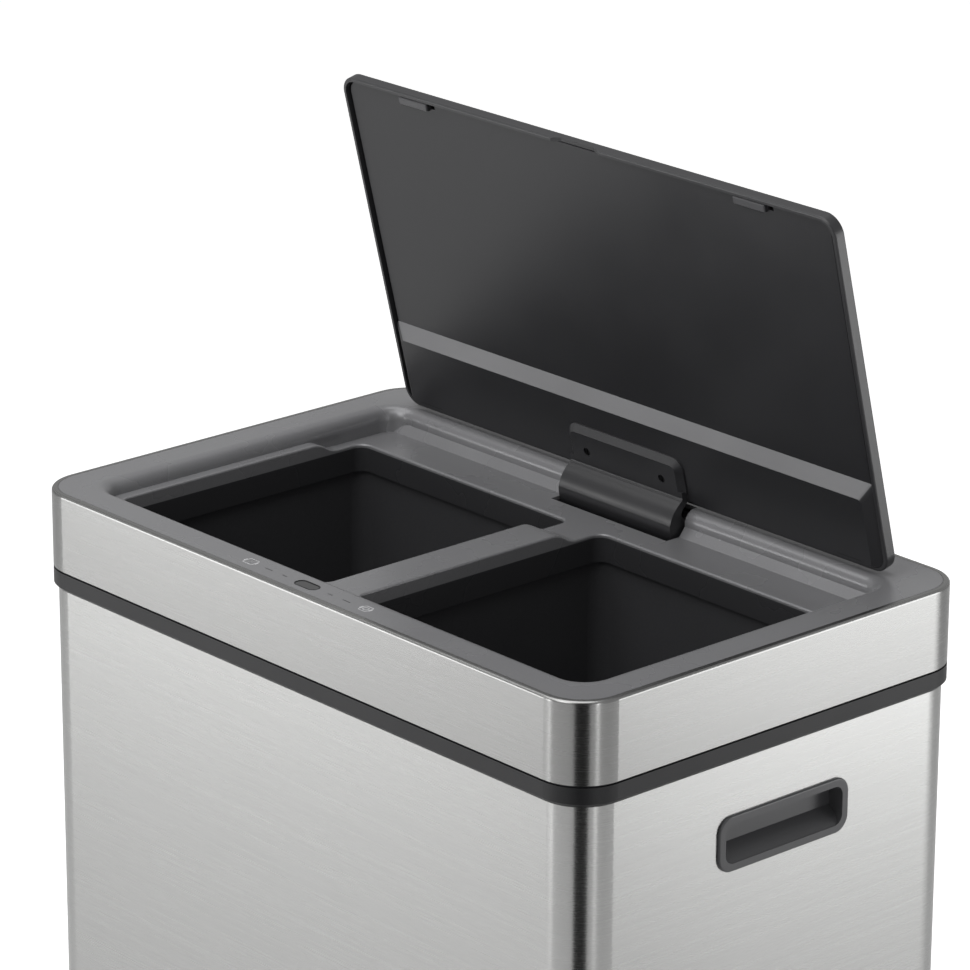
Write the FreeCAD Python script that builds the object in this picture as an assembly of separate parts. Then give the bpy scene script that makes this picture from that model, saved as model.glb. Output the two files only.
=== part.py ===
"""Double recycling bin: two lift-out buckets under a hood with one motor-driven lid.

Millimetres. Origin on the floor under the centre of the body, +X to the right, -Y to the front, +Z up.
The lid stands open. Lid pieces are drawn closed and then turned open about the hinge axis.
"""
import FreeCAD, Part
import math
import os

V = FreeCAD.Vector

# ---- driving dimensions: overall -------------------------------------------------------------------
width = 590.0            # outside of the hood ring, along X
depth = 370.0            # outside of the hood ring, along Y
height = 640.0           # floor to the flat top of the rim
corner_r = 35.0          # plan corner of the hood ring
steel = 0.6              # sheet steel
wall = 2.4               # moulded wall
running_gap = 0.05       # radial, shaft in bush
fit_gap = 0.3            # between pieces that locate in each other

# ---- hood ring and collar --------------------------------------------------------------------------
ring_h = 59.2            # height of the steel hood ring
ring_bend_r = 2.2        # rolled top edge
ring_flange_w = 4.7      # turned-in top flange
shadow_gap = 1.5         # dark gap under the hood ring
band_h = 14.8            # visible height of the collar band
band_bevel = 3.0         # lower edge of the band
collar_t = 6.8           # full thickness of the collar
collar_grip = 9.0        # how far the collar reaches down over the wrap
spigot_h = 12.7          # upstand that centres the hood
skirt_inset = 1.2        # rim skirt behind the hood ring

# ---- body ------------------------------------------------------------------------------------------
body_inset = 3.5         # wrap behind the outline of the hood
flange_w = 10.0          # turned-in bottom flange of the wrap
screw_inset = 7.2        # screws through that flange, from the face of the wrap
plinth_h = 20.0          # top of the base tray
plinth_inset = 1.0       # plinth behind the wrap
foot_h = 3.0             # pads stand out of the tray
foot_r = 14.0
foot_seat = 3.0          # depth of the pad's socket
foot_from_side = 45.0    # pad centre from the outside of the hood
base_screw_y = 90.0      # screws through the wrap's flange, from the centre
base_screw_x = 150.0

# ---- recess, ledges and openings of the rim --------------------------------------------------------
rim_side = 36.5          # hood outside to the recess wall, left and right
rim_front = 36.0
rim_back = 51.0
recess_r = 17.0
shoulder_r = 10.0        # rounded edge from the flat rim into the recess
ledge_drop = 10.6        # ledge round the openings, below the rim
ledge_w = 9.0
floor_drop = 18.7        # lower floor behind the openings
floor_w = 41.0           # recess back wall to the openings
funnel_drop = 29.5       # lower edge of the opening walls
bar_w = 34.0             # bar between the two openings
opening_r = 9.0
slope_drop = 12.0        # start of the sloped foot of the back wall
slope_run = 5.5
ramp_run = 22.0          # ledge down to the back floor
ramp_from_back = 25.0    # end of the ramp to the back of the openings
lip_r = 1.6              # rounding along the openings

# ---- lid -------------------------------------------------------------------------------------------
open_angle = 76.2
lid_gap = 3.0            # lid to the recess wall, front and sides
lid_gap_back = 2.5
lid_t = 9.2
lid_proud = 1.0          # closed lid above the rim
lid_r = 14.0
lid_edge_r = 1.4
lip_w = 3.1              # lip of the lid frame round the liner
skin = 2.0               # top skin of the lid frame, and the liner
panel_inset = 4.0        # steel panel inside the lid's outline
liner_recess = 2.5       # liner behind the lip
island_h = 3.5           # raised zone at the hinge side, in front of the lip
island_len = 59.0
island_slope = 12.0      # sloped strip in front of the raised zone
island_side = 9.0        # sloped ends of the raised zone
rib_t = 1.6
notch_w = 50.0           # finger scoop in the front lip
notch_h = 3.2
tab_w = 31.0             # catches of the liner
tab_x = 174.5
tab_len = 6.0
catch_slot = 5.0
side_groove = 3.2        # open groove between the liner and the side lips

# ---- hinge and bracket -----------------------------------------------------------------------------
pivot_drop = 11.3        # hinge axis below the rim, under the shoulder's centre
shaft_r = 3.0
barrel_r = 7.0
bracket_w = 118.6
plate_w = 120.6
plate_len = 39.8         # from the lid's hinge edge
plate_t = 5.0
plate_bevel = 5.0        # sloped edge, across
plate_edge = 1.2         # upright edge under the slope
guard_r = 22.8           # rounded guard about the hinge axis
guard_t = 3.0
guard_from = 58.0        # guard's ends, degrees from the lid's plane
guard_to = 115.0
plate_r = 10.0
bracket_screw_x = 39.6
bracket_screw_s = 20.7   # from the lid's hinge edge
pocket_gap = 2.3         # bracket to the pocket, each side
pocket_front = 22.8      # pocket in front of the openings' back edge
pocket_depth = 36.0
pocket_wall = 2.2
pocket_swing = 12.0      # room behind the hinge axis for the guard
bush_r = 5.0
bush_flange = 1.0

# ---- lid drive -------------------------------------------------------------------------------------
gear_w = 6.0             # sector and the pinion that it turns
wheel_w = 4.0            # idler wheel and the motor's pinion
bush_out = 2.5           # bush stands out of the pocket's wall
sector_teeth = 48        # full-circle count of the sector
sector_first = -10       # teeth kept, counted from the one in mesh
sector_last = 1
idler_teeth = 14
wheel_teeth = 30
pinion_teeth = 14
module_out = 1.0
module_in = 0.8
backlash = 0.16
mesh_dir = -67.5         # direction from hinge axis to idler, degrees from +Y towards +Z
axle_r = 2.0
motor_r = 12.0
motor_len = 32.0
gearhead_len = 20.0
gear_plate_t = 2.0
cover_drop = 56.0        # underside of the rear bay below the rim
cover_side = 83.0        # bay to the outside of the hood, left and right
cover_gap = 1.6          # bay behind the lips of the buckets
cover_from_back = 9.0
cover_wall = 2.0

# ---- batteries, board, switch ----------------------------------------------------------------------
cell_r = 7.1
cell_len = 49.2
cell_rows = 3
cell_columns = 2
box_from_side = 80.0     # centre of the battery box, from the left end of the bay
box_from_front = 31.0    # and from its front
door_t = 1.7
door_travel = 12.0
window_len = 21.0
window_w = 9.0
window_from_front = 16.0
board_len = 150.0
board_w = 16.0
board_drop = 8.0
switch_from_side = 63.0
switch_drop = 35.0
switch_w = 20.0
switch_h = 15.0
rocker_r = 6.6
rocker_w = 12.0
rocker_tilt = 12.0
loom_r = 1.5
loom_bend = 16.0
loom_side = 4.5          # lead in front of the board's centre line
loom_inset = 17.0        # lead along the left side, from the outside of the hood
loom_drop = 26.0
loom_clip_y = (-90.0, 0.0, 75.0)

# ---- handles and buckets ---------------------------------------------------------------------------
handle_y = 8.3
handle_drop = 135.4      # centre below the rim
handle_w = 124.0
handle_h = 41.0
handle_r = 12.0
bezel_w = 6.0
bezel_proud = 2.2
cup_depth = 13.5         # from the bezel's face
cup_floor_rise = 10.4
bucket_gap = 1.5         # funnel to bucket
bucket_wall = 2.0
bucket_top_drop = 25.0
bucket_taper = 8.0       # each side, top to bottom
bucket_lip = 3.5

# ---- worked out ------------------------------------------------------------------------------------
hx = width / 2
hy = depth / 2
recess_x = hx - rim_side
recess_y0 = -hy + rim_front
recess_y1 = hy - rim_back
opening_x = recess_x - ledge_w
opening_y0 = recess_y0 + ledge_w
opening_y1 = recess_y1 - floor_w
bar_x = bar_w / 2
ledge_z = height - ledge_drop
floor_z = height - floor_drop
funnel_z = height - funnel_drop
ring_z = height - ring_h
band_top = ring_z - shadow_gap
band_z = band_top - band_h
pivot_y = recess_y1 + shoulder_r
pivot_z = height - pivot_drop
lid_x = recess_x - lid_gap
lid_y0 = recess_y0 + lid_gap
lid_y1 = recess_y1 - lid_gap_back
lid_top = height + lid_proud
lip_z = lid_top - lid_t
pocket_x = bracket_w / 2 + pocket_gap
pocket_back = pivot_y + pocket_swing
cover_half = hx - cover_side
cover_front = opening_y1 + wall + bucket_gap + bucket_wall + bucket_lip + cover_gap
cover_back = hy - cover_from_back
box_x = -cover_half + box_from_side
box_y = cover_front + box_from_front
switch_x = hx - switch_from_side
pocket_y0 = opening_y1 + pocket_front
bay_z = height - cover_drop


# ---- shape helpers ---------------------------------------------------------------------------------
def slab(x0, x1, y0, y1, z0, z1, r=0.0):
    """Upright block with its four vertical corners rounded."""
    if r <= 0:
        return Part.makeBox(x1 - x0, y1 - y0, z1 - z0, V(x0, y0, z0))
    face = Part.Face(rounded_wire(x0, x1, y0, y1, z0, r))
    return face.extrude(V(0, 0, z1 - z0))


def rounded_wire(x0, x1, y0, y1, z, r):
    """Rounded rectangle at height z, starting at its front left straight."""
    k = r * (1 - math.sqrt(0.5))
    corners = [((x1 - r, y0), (x1 - k, y0 + k), (x1, y0 + r)),
               ((x1, y1 - r), (x1 - k, y1 - k), (x1 - r, y1)),
               ((x0 + r, y1), (x0 + k, y1 - k), (x0, y1 - r)),
               ((x0, y0 + r), (x0 + k, y0 + k), (x0 + r, y0))]
    edges = []
    last = V(x0 + r, y0, z)
    for start, middle, end in corners:
        a, m, b = (V(p[0], p[1], z) for p in (start, middle, end))
        edges.append(Part.LineSegment(last, a).toShape())
        edges.append(Part.Arc(a, m, b).toShape())
        last = b
    return Part.Wire(edges)


def outline(inset, z0, z1):
    """Block with the hood's plan outline, drawn in by inset."""
    return slab(-hx + inset, hx - inset, -hy + inset, hy - inset, z0, z1, corner_r - inset)


def ring(outer, inner, z0, z1):
    """Wall that follows the hood's outline between two insets."""
    return outline(outer, z0, z1).cut(outline(inner, z0 - 1, z1 + 1))


def taper(low, high):
    """Ruled solid between two rounded rectangles (x0, x1, y0, y1, z, r)."""
    return Part.makeLoft([rounded_wire(*low), rounded_wire(*high)], True, True)


def across(start, steps, x0, x1):
    """Solid with a side profile: (y, z) points, an arc where a step gives a middle and an end."""
    edges = []
    last = V(x0, start[0], start[1])
    for step in list(steps) + [(start,)]:
        end = V(x0, step[-1][0], step[-1][1])
        if len(step) == 2:
            edges.append(Part.Arc(last, V(x0, step[0][0], step[0][1]), end).toShape())
        else:
            edges.append(Part.LineSegment(last, end).toShape())
        last = end
    return Part.Face(Part.Wire(edges)).extrude(V(x1 - x0, 0, 0))


def rod_x(y, z, r, x0, x1):
    return Part.makeCylinder(r, x1 - x0, V(x0, y, z), V(1, 0, 0))


def rod_z(x, y, r, z0, z1):
    return Part.makeCylinder(r, z1 - z0, V(x, y, z0), V(0, 0, 1))


def join(shapes):
    shapes = list(shapes)
    whole = shapes[0]
    if len(shapes) > 1:
        whole = whole.multiFuse(shapes[1:])
    return whole.removeSplitter()


def mirror_x(shape):
    return shape.mirror(V(0, 0, 0), V(1, 0, 0))


def both_sides(shape):
    return [shape, mirror_x(shape)]


def loop_edges(shape, z, inside):
    """Edges that lie at height z and whose middle is inside the box (x, y0, y1)."""
    found = []
    for edge in shape.Edges:
        box = edge.BoundBox
        if abs(box.ZMin - z) > 0.01 or abs(box.ZMax - z) > 0.01:
            continue
        middle = box.Center
        if abs(middle.x) <= inside[0] and inside[1] <= middle.y <= inside[2]:
            found.append(edge)
    return found


def screw(x, y, z, length, up, r=1.5, head_r=2.8, head_h=2.0):
    """Upright screw: z is the seat of its head, and up is +1 if the point is above the head."""
    low, high = sorted((z, z + up * length))
    shank = rod_z(x, y, r, low, high)
    low, high = sorted((z, z - up * head_h))
    head = rod_z(x, y, head_r, low, high)
    slot = slab(x - 0.4, x + 0.4, y - head_r, y + head_r, z - up * head_h - 0.5, z - up * head_h + 0.5)
    return shank.fuse(head).cut(slot).removeSplitter()


def involute(angle):
    return math.tan(angle) - angle


def gear(y, z, teeth, module, tooth_at, x0, x1):
    """Spur gear about an X axis with a tooth centred at angle tooth_at, degrees from +Y towards +Z."""
    pressure = math.radians(20)
    pitch_r = teeth * module / 2
    base_r = pitch_r * math.cos(pressure)
    root_r = pitch_r - 1.05 * module
    tip_r = pitch_r + 0.8 * module
    half = (math.pi * module / 2 - backlash) / (2 * pitch_r)
    start_r = max(base_r, root_r + 0.1 * module)
    flank = []
    for step in range(5):
        r = start_r + (tip_r - start_r) * step / 4
        lean = involute(pressure) - involute(math.acos(min(1.0, base_r / r)))
        flank.append((r, half + lean))
    flank.insert(0, (root_r, flank[0][1]))
    points = []
    for tooth in range(teeth):
        centre = math.radians(tooth_at) + tooth * 2 * math.pi / teeth
        side = [(r, centre - a) for r, a in flank] + [(r, centre + a) for r, a in reversed(flank)]
        points += [V(x0, y + r * math.cos(a), z + r * math.sin(a)) for r, a in side]
    points.append(points[0])
    return Part.Face(Part.makePolygon(points)).extrude(V(x1 - x0, 0, 0))


def wedge(y, z, r, a0, a1, x0, x1):
    """Pie slice about an X axis between two angles in degrees."""
    def at(angle, radius):
        return y + radius * math.cos(math.radians(angle)), z + radius * math.sin(math.radians(angle))
    return across((y, z), [(at(a0, r),), (at((a0 + a1) / 2, r), at(a1, r))], x0, x1)


def tube(points, r, bend):
    """Round lead along straight runs with tangent arcs at the corners."""
    edges = []
    last = points[0]
    for before, corner, after in zip(points, points[1:], points[2:]):
        into = (corner - before).normalize()
        out = (after - corner).normalize()
        half = into.getAngle(out) / 2
        back = bend * math.tan(half)
        a = corner - into * back
        b = corner + out * back
        middle = corner + (out - into).normalize() * (bend / math.cos(half) - bend)
        edges.append(Part.LineSegment(last, a).toShape())
        edges.append(Part.Arc(a, middle, b).toShape())
        last = b
    edges.append(Part.LineSegment(last, points[-1]).toShape())
    path = Part.Wire(edges)
    start = (points[1] - points[0]).normalize()
    section = Part.Wire([Part.Circle(points[0], start, r).toShape()])
    return path.makePipeShell([section], True, False)


# ---- body ------------------------------------------------------------------------------------------
def handle_prism(grow, x0, x1, r):
    """Block through the right side with the outline of the cup's mouth, made larger by grow."""
    half_w = handle_w / 2 - bezel_w + grow
    half_h = handle_h / 2 - bezel_w + grow
    block = slab(-half_h, half_h, handle_y - half_w, handle_y + half_w, x0, x1, r)
    block.rotate(V(0, 0, 0), V(0, 1, 0), 90)
    block.translate(V(0, 0, height - handle_drop))
    return block


def outer_shell():
    top = band_z + collar_grip
    sheet = ring(body_inset, body_inset + steel, plinth_h, top)
    flange = ring(body_inset, body_inset + flange_w, plinth_h, plinth_h + steel)
    shell = sheet.fuse(flange)
    window = handle_prism(wall + fit_gap, hx - 30, hx, handle_r - bezel_w + wall)
    shell = shell.cut(join(both_sides(window)))
    for x, y in base_screw_places():
        shell = shell.cut(rod_z(x, y, 1.5, plinth_h - 1, plinth_h + 2))
    return shell.removeSplitter()


def base_screw_places():
    side = hx - body_inset - screw_inset
    front = hy - body_inset - screw_inset
    return [(sx * x, sy * y) for sx in (-1, 1) for sy in (-1, 1)
            for x, y in ((side, base_screw_y), (base_screw_x, front))]


def foot_places():
    return [(sx * (hx - foot_from_side), sy * (hy - foot_from_side)) for sx in (-1, 1) for sy in (-1, 1)]


def base_tray():
    inset = body_inset + plinth_inset
    tray = outline(inset, foot_h, plinth_h).cut(outline(inset + wall, foot_h - 1, plinth_h - wall))
    seats = [rod_z(x, y, foot_r + wall, foot_h, plinth_h - wall) for x, y in foot_places()]
    tray = join([tray] + seats)
    for x, y in foot_places():
        tray = tray.cut(rod_z(x, y, foot_r, foot_h - 1, foot_h + foot_seat))
    for x, y in base_screw_places():
        tray = tray.cut(rod_z(x, y, 1.6, foot_h - 1, plinth_h + 1))
    return tray


def base_feet():
    pads = []
    for x, y in foot_places():
        pad = rod_z(x, y, foot_r, 0, foot_h + foot_seat)
        rim = [e for e in pad.Edges if e.BoundBox.ZMax < 0.01]
        pads.append(pad.makeChamfer(0.8, rim))
    return Part.makeCompound(pads)


def base_screws():
    seat = plinth_h - wall
    return Part.makeCompound([screw(x, y, seat, 8, 1) for x, y in base_screw_places()])


def collar_band():
    block = outline(0, band_z, band_top)
    low = [e for e in block.Edges if e.BoundBox.ZMax < band_z + 0.01]
    block = block.makeChamfer(band_bevel, low)
    block = block.cut(outline(collar_t, band_z - 1, band_top + 1))
    slot = ring(body_inset - 0.1, body_inset + steel + 0.1, band_z - 1, band_z + collar_grip)
    spigot_out = skirt_inset + wall + fit_gap * 2
    spigot = ring(spigot_out, collar_t, band_top - 1, band_top + spigot_h)
    return join([block.cut(slot), spigot])


def handle_right():
    face_x = hx - body_inset
    front_x = face_x + bezel_proud
    back_x = front_x - cup_depth
    mouth_r = handle_r - bezel_w + 1.5
    bezel = handle_prism(bezel_w, face_x, front_x, handle_r)
    rim = [e for e in bezel.Edges if e.BoundBox.XMin > front_x - 0.01]
    bezel = bezel.makeFillet(1.3, rim)
    cup = handle_prism(wall, back_x - wall, face_x + 0.1, mouth_r + wall)
    cavity = handle_prism(0, back_x, front_x + 1, mouth_r)
    floor = height - handle_drop - handle_h / 2 + bezel_w
    ramp = Part.makePolygon([V(front_x - 0.6, 0, floor - 1), V(front_x - 0.6, 0, floor),
                             V(back_x, 0, floor + cup_floor_rise), V(back_x - 1, 0, floor - 1),
                             V(front_x - 0.6, 0, floor - 1)])
    ramp = Part.Face(ramp).extrude(V(0, handle_w, 0))
    ramp.translate(V(0, handle_y - handle_w / 2, 0))
    handle = join([bezel, cup]).cut(cavity.cut(ramp))
    catch_z = handle_h / 2 - bezel_w + wall
    inner_x = face_x - steel - 0.2
    for side in (-1, 1):
        for y in (-35.0, 35.0):
            z = height - handle_drop + side * catch_z
            low, high = sorted((z - side * 0.5, z + side * 1.6))
            at = handle_y + y
            handle = handle.fuse(slab(inner_x - 2.5, inner_x, at - 4.5, at + 4.5, low, high))
    return handle.removeSplitter()


def bucket_plan(grow):
    """Plan limits of the right bucket, grown from the outside of the funnel that it hangs round."""
    out = wall + bucket_gap + grow
    return bar_x - out, opening_x + out, opening_y0 - out, opening_y1 + out


def bucket():
    top = height - bucket_top_drop
    low = plinth_h + 0.3

    def body(grow, z0, z1):
        shrink = bucket_taper * (top - z0) / (top - low)
        foot = bucket_plan(grow - shrink)
        mouth = bucket_plan(grow)
        r = opening_r + grow + 4
        return taper((*foot, z0, r), (*mouth, z1, r))
    shell = body(bucket_wall, low, top).cut(body(0, low + bucket_wall, top + 0.001))
    x0, x1, y0, y1 = bucket_plan(bucket_wall + bucket_lip)
    lip = slab(x0, x1, y0, y1, top - 2.2, top, opening_r + bucket_wall + bucket_lip + 4)
    x0, x1, y0, y1 = bucket_plan(0.5)
    lip = lip.cut(slab(x0, x1, y0, y1, top - 4, top + 1, opening_r + 4.5))
    return join([shell, lip])


# ---- hood ------------------------------------------------------------------------------------------
def hood_ring():
    def rolled(inset, z0, z1, r):
        block = outline(inset, z0, z1)
        top = [e for e in block.Edges if e.BoundBox.ZMin > z1 - 0.01]
        return block.makeFillet(r, top)
    sheet = rolled(0, ring_z, height, ring_bend_r)
    sheet = sheet.cut(rolled(steel, ring_z - 1, height - steel, ring_bend_r - steel))
    sheet = sheet.cut(outline(ring_flange_w, ring_z, height + 1))
    return sheet.cut(switch_block(fit_gap, hy - 3, hy + 1))


def switch_block(grow, y0, y1):
    z = height - switch_drop
    return slab(switch_x - switch_w / 2 - grow, switch_x + switch_w / 2 + grow, y0, y1,
                z - switch_h / 2 - grow, z + switch_h / 2 + grow)


def recess_prism(grow, z0, z1):
    return slab(-recess_x - grow, recess_x + grow, recess_y0 - grow, recess_y1 + grow, z0, z1,
                recess_r + grow)


def openings(grow, z0, z1):
    """Blocks through both openings, grown by a wall."""
    right = slab(bar_x - grow, opening_x + grow, opening_y0 - grow, opening_y1 + grow, z0, z1,
                 opening_r + grow)
    return both_sides(right)


def floor_profile(thick):
    """Side profile of the recess floor, from the ledge down the ramp to the foot of the back wall."""
    ramp_end = opening_y1 - ramp_from_back
    ramp_start = ramp_end - ramp_run
    high = ledge_z - thick
    low = floor_z - thick
    quarter = ramp_run / 4
    rise = (high - low) / 2
    lean = 0.15
    start = (ramp_start, high)
    steps = [((ramp_start + quarter, high - rise * lean * 2), (ramp_start + 2 * quarter, high - rise)),
             ((ramp_start + 3 * quarter, low + rise * lean * 2), (ramp_end, low)),
             ((recess_y1 - slope_run + thick * 0.2, low),),
             ((recess_y1 + thick, height - slope_drop - thick * 0.4),)]
    return start, steps


def rim_frame():
    low = band_top + fit_gap
    block_z = height - pocket_depth - pocket_wall - 2
    block = outline(ring_bend_r + 0.1, block_z, height)
    block = block.cut(recess_prism(0, ledge_z, height + 1))
    shoulder = loop_edges(block, height, (recess_x + 1, recess_y0 - 1, recess_y1 + 1))
    block = block.makeFillet(shoulder_r, shoulder)
    start, steps = floor_profile(0)
    upper = list(steps) + [((recess_y1, height - 1),), ((start[0], height - 1),)]
    lower_floor = across(start, upper, -recess_x, recess_x).common(recess_prism(0, block_z, height))
    block = block.cut(lower_floor).cut(join(openings(0, block_z - 1, height + 1)))
    block = round_opening_edges(block)

    under = hollow_under(block_z - 1)
    block = block.cut(under)
    step = ring(0, ring_flange_w + fit_gap, height - steel - 0.2, height + 1)
    block = block.cut(step)
    skirt = ring(skirt_inset, skirt_inset + wall, low, height - 3)
    pocket = pocket_box(0).cut(shoulder_cut(start, steps))
    frame = join([block, skirt, pocket] + funnels() + rim_bosses())
    frame = frame.cut(join([pocket_box(pocket_wall)] + pocket_mouth()))
    return cut_rim_holes(frame)


def shoulder_cut(start, steps):
    """Open space over the recess floor and the rounded shoulder at its back."""
    low = height - shoulder_r
    k = shoulder_r * (1 - math.sqrt(0.5))
    above = list(steps) + [((recess_y1, low),), ((recess_y1 + k, height - k), (pivot_y, height)),
                           ((pivot_y, height + 1),), ((start[0], height + 1),)]
    return across(start, above, -recess_x, recess_x)


def round_opening_edges(block):
    """Small rounding along the top edges of both openings."""
    edges = []
    for edge in block.Edges:
        box = edge.BoundBox
        inside = box.XMax < opening_x + 0.1 and box.XMin > -opening_x - 0.1
        inside = inside and box.YMin > opening_y0 - 0.1 and box.YMax < opening_y1 + 0.1
        if inside and box.ZMin > floor_z - 0.01 and box.ZMax < ledge_z + 0.01:
            edges.append(edge)
    return block.makeFillet(lip_r, edges)


def hollow_under(z0):
    """Everything under the rim that isn't wall, as one block."""
    side = outline(skirt_inset + wall, z0, height - wall)
    side = side.cut(recess_prism(wall, z0 - 1, height))
    limits = (recess_x + wall + 1, recess_y0 - wall - 1, recess_y1 + wall + 1)
    inner = loop_edges(side, height - wall, limits)
    side = side.makeFillet(shoulder_r - wall, inner)
    start, steps = floor_profile(wall)
    back = recess_y1 + wall
    lower = list(steps) + [((back, z0),), ((-hy, z0),), ((-hy, ledge_z - wall),)]
    middle = across(start, lower, -hx, hx)
    middle = middle.common(recess_prism(wall, z0, height)).cut(join(openings(wall, z0 - 1, height)))
    return side.fuse(middle)


def funnels():
    walls = openings(wall, funnel_z, ledge_z - wall)
    holes = openings(0, funnel_z - 1, height)
    start, steps = floor_profile(wall * 0.5)
    above = list(steps) + [((recess_y1 + wall, height),), ((-hy, height),),
                           ((-hy, ledge_z - wall * 0.5),)]
    above = across(start, above, -hx, hx)
    return [w.cut(h).cut(above) for w, h in zip(walls, holes)]


def pocket_box(inset):
    """Box under the rim that the bracket folds into; inset gives its inside."""
    top = height - wall if inset == 0 else height - wall - 1.2
    return slab(-pocket_x - pocket_wall + inset, pocket_x + pocket_wall - inset,
                pocket_y0 - pocket_wall + inset, pocket_back + pocket_wall - inset,
                height - pocket_depth - pocket_wall + inset, top)


def pocket_mouth():
    return [slab(-pocket_x, pocket_x, pocket_y0, pivot_y + 2.0, height - pocket_depth, height + 1)]


def cover_screw_places():
    side = cover_half - 9.0
    return [(sx * x, y) for sx in (-1, 1) for x, y in ((side, cover_front + 8), (side, cover_back - 8),
                                                      (22.0, cover_back - 8))]


def gear_centre(teeth_a, teeth_b, module):
    return (teeth_a + teeth_b) * module / 2


def idler_axis():
    reach = gear_centre(sector_teeth, idler_teeth, module_out)
    angle = math.radians(mesh_dir)
    return pivot_y + reach * math.cos(angle), pivot_z + reach * math.sin(angle)


def motor_axis():
    y, z = idler_axis()
    return y - gear_centre(wheel_teeth, pinion_teeth, module_in), z


def rim_bosses():
    """Screw posts, bush seats and the lug of the idler axle, all moulded under the rim."""
    inside = bay_z + cover_wall
    posts = [rod_z(x, y, 4.0, inside, height - wall + 1 if y > recess_y1 + 5 else floor_z - 1)
             for x, y in cover_screw_places()]
    seat = rod_x(pivot_y, pivot_z, bush_r + 2.4, pocket_x + 1, pocket_x + pocket_wall + bush_out)
    y, z = idler_axis()
    lug = slab(pocket_x + 1, pocket_x + pocket_wall + 2, y - 7.5, y + 7.5, z - 7.5, height - wall + 0.5)
    x = -hx + loom_inset
    clips = [slab(x - 6, x + 6, y - 2, y + 2, height - loom_drop - 4, height - wall + 0.5)
             for y in loom_clip_y]
    screw_posts = [rod_z(x, y, 3.4, height - 13.2, height - wall + 0.5)
                   for x, y in sensor_screw_places()]
    return posts + both_sides(seat) + [lug] + clips + screw_posts


def sensor_screw_places():
    reach = board_len / 2 + 5.5
    y = -hy + window_from_front + 5.0
    return [(-reach, y), (reach, y)]


def cut_rim_holes(frame):
    tools = [rod_z(x, y, 1.4, bay_z, height - 30) for x, y in cover_screw_places()]
    tools.append(rod_x(pivot_y, pivot_z, bush_r, -pocket_x - 8, pocket_x + 8))
    y, z = idler_axis()
    tools.append(rod_x(y, z, axle_r + 0.02, pocket_x + 1, pocket_x + 6))
    tools.append(window_block(0.15, height - 10, height + 1))
    tools += [rod_z(x, y, 1.3, height - 14, height - 5) for x, y in sensor_screw_places()]
    tools += [clip_hole(y) for y in loom_clip_y]
    tools.append(switch_block(0.2, hy - 8, hy + 1))
    return frame.cut(Part.makeCompound(tools)).removeSplitter()


def clip_hole(y):
    return Part.makeCylinder(loom_r + 0.2, 8, V(-hx + loom_inset, y - 4, height - loom_drop), V(0, 1, 0))


def window_block(grow, z0, z1):
    y = -hy + window_from_front
    half = window_len / 2 + grow
    r = window_w / 2 + grow
    return slab(-half, half, y - r, y + r, z0, z1, r - 0.01)


def sensor_window():
    return window_block(0, height - wall, height - 0.15)


def control_board():
    y = -hy + window_from_front
    top = height - board_drop
    board = slab(-board_len / 2, board_len / 2, y - board_w / 2, y + board_w / 2, top - 1.6, top)
    eye = rod_z(-4, y, 2.5, top, top + 4.5).fuse(rod_z(4, y, 2.5, top, top + 4.5))
    pads = [slab(x - 5, x + 5, y - 5, y + 5, top, height - wall - 0.2, 1.0) for x in (-62.0, 62.0)]
    plug = slab(-board_len / 2 + 3, -board_len / 2 + 13, y - board_w / 2, y, top - 5.0, top - 1.6)
    return join([board, eye, plug] + pads)


def sensor_cover():
    y = -hy + window_from_front
    half = board_len / 2 + 12
    top = height - wall - 0.1
    low = height - 15
    tray = slab(-half, half, y - 10.5, y + 10.5, low, top, 3)
    tray = tray.cut(slab(-half + 1.6, half - 1.6, y - 8.9, y + 8.9, low + 1.6, top + 1, 2))
    for screw_x, screw_y in sensor_screw_places():
        tray = tray.cut(rod_z(screw_x, screw_y, 1.6, low - 1, low + 3))
    gate = slab(-half - 1, -half + 4, y - loom_side - 3, y - loom_side + 3, low + 1.6, low + 7)
    return tray.cut(gate)


def sensor_cover_screws():
    return Part.makeCompound([screw(x, y, height - 15, 9, 1, r=1.25, head_r=2.4, head_h=1.5)
                              for x, y in sensor_screw_places()])


def battery_size():
    length = cell_columns * cell_len + 12
    across_y = cell_rows * 2 * (cell_r + 0.3) + 5
    return length / 2, across_y / 2, 2 * cell_r + 4.5


def drive_cover():
    tray = slab(-cover_half, cover_half, cover_front, cover_back, bay_z, floor_z - wall - 0.3, 6)
    tray = tray.cut(slab(-cover_half + cover_wall, cover_half - cover_wall, cover_front + cover_wall,
                         cover_back - cover_wall, bay_z + cover_wall, height, 4))
    half_x, half_y, _ = battery_size()
    tray = tray.cut(slab(box_x - half_x + 2, box_x + half_x - 2, box_y - half_y + 2, box_y + half_y - 2,
                         bay_z - 1, bay_z + 5))
    door_low = bay_z - 0.2 - door_t
    rail = slab(box_x - half_x - door_travel, box_x + half_x, box_y + half_y + 0.3, box_y + half_y + 2.3,
                door_low - 1.2, bay_z)
    foot = slab(box_x - half_x - door_travel, box_x + half_x, box_y + half_y - 1.2, box_y + half_y + 2.3,
                door_low - 1.2, door_low - 0.3)
    rails = rail.fuse(foot)
    other = rails.mirror(V(0, box_y, 0), V(0, 1, 0))
    tray = join([tray, rails, other])
    for x, y in cover_screw_places():
        tray = tray.cut(rod_z(x, y, 1.7, bay_z - 1, bay_z + 5))
    for x, y in plate_screw_places():
        tray = tray.cut(rod_z(x, y, 1.5, bay_z - 1, bay_z + 5))
    gate = slab(-cover_half - 1, -cover_half + 5, cover_front + 20, cover_front + 30,
                height - loom_drop - 9, height)
    return tray.cut(gate)


def cover_screws():
    return Part.makeCompound([screw(x, y, bay_z, 12, 1, r=1.4) for x, y in cover_screw_places()])


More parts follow.
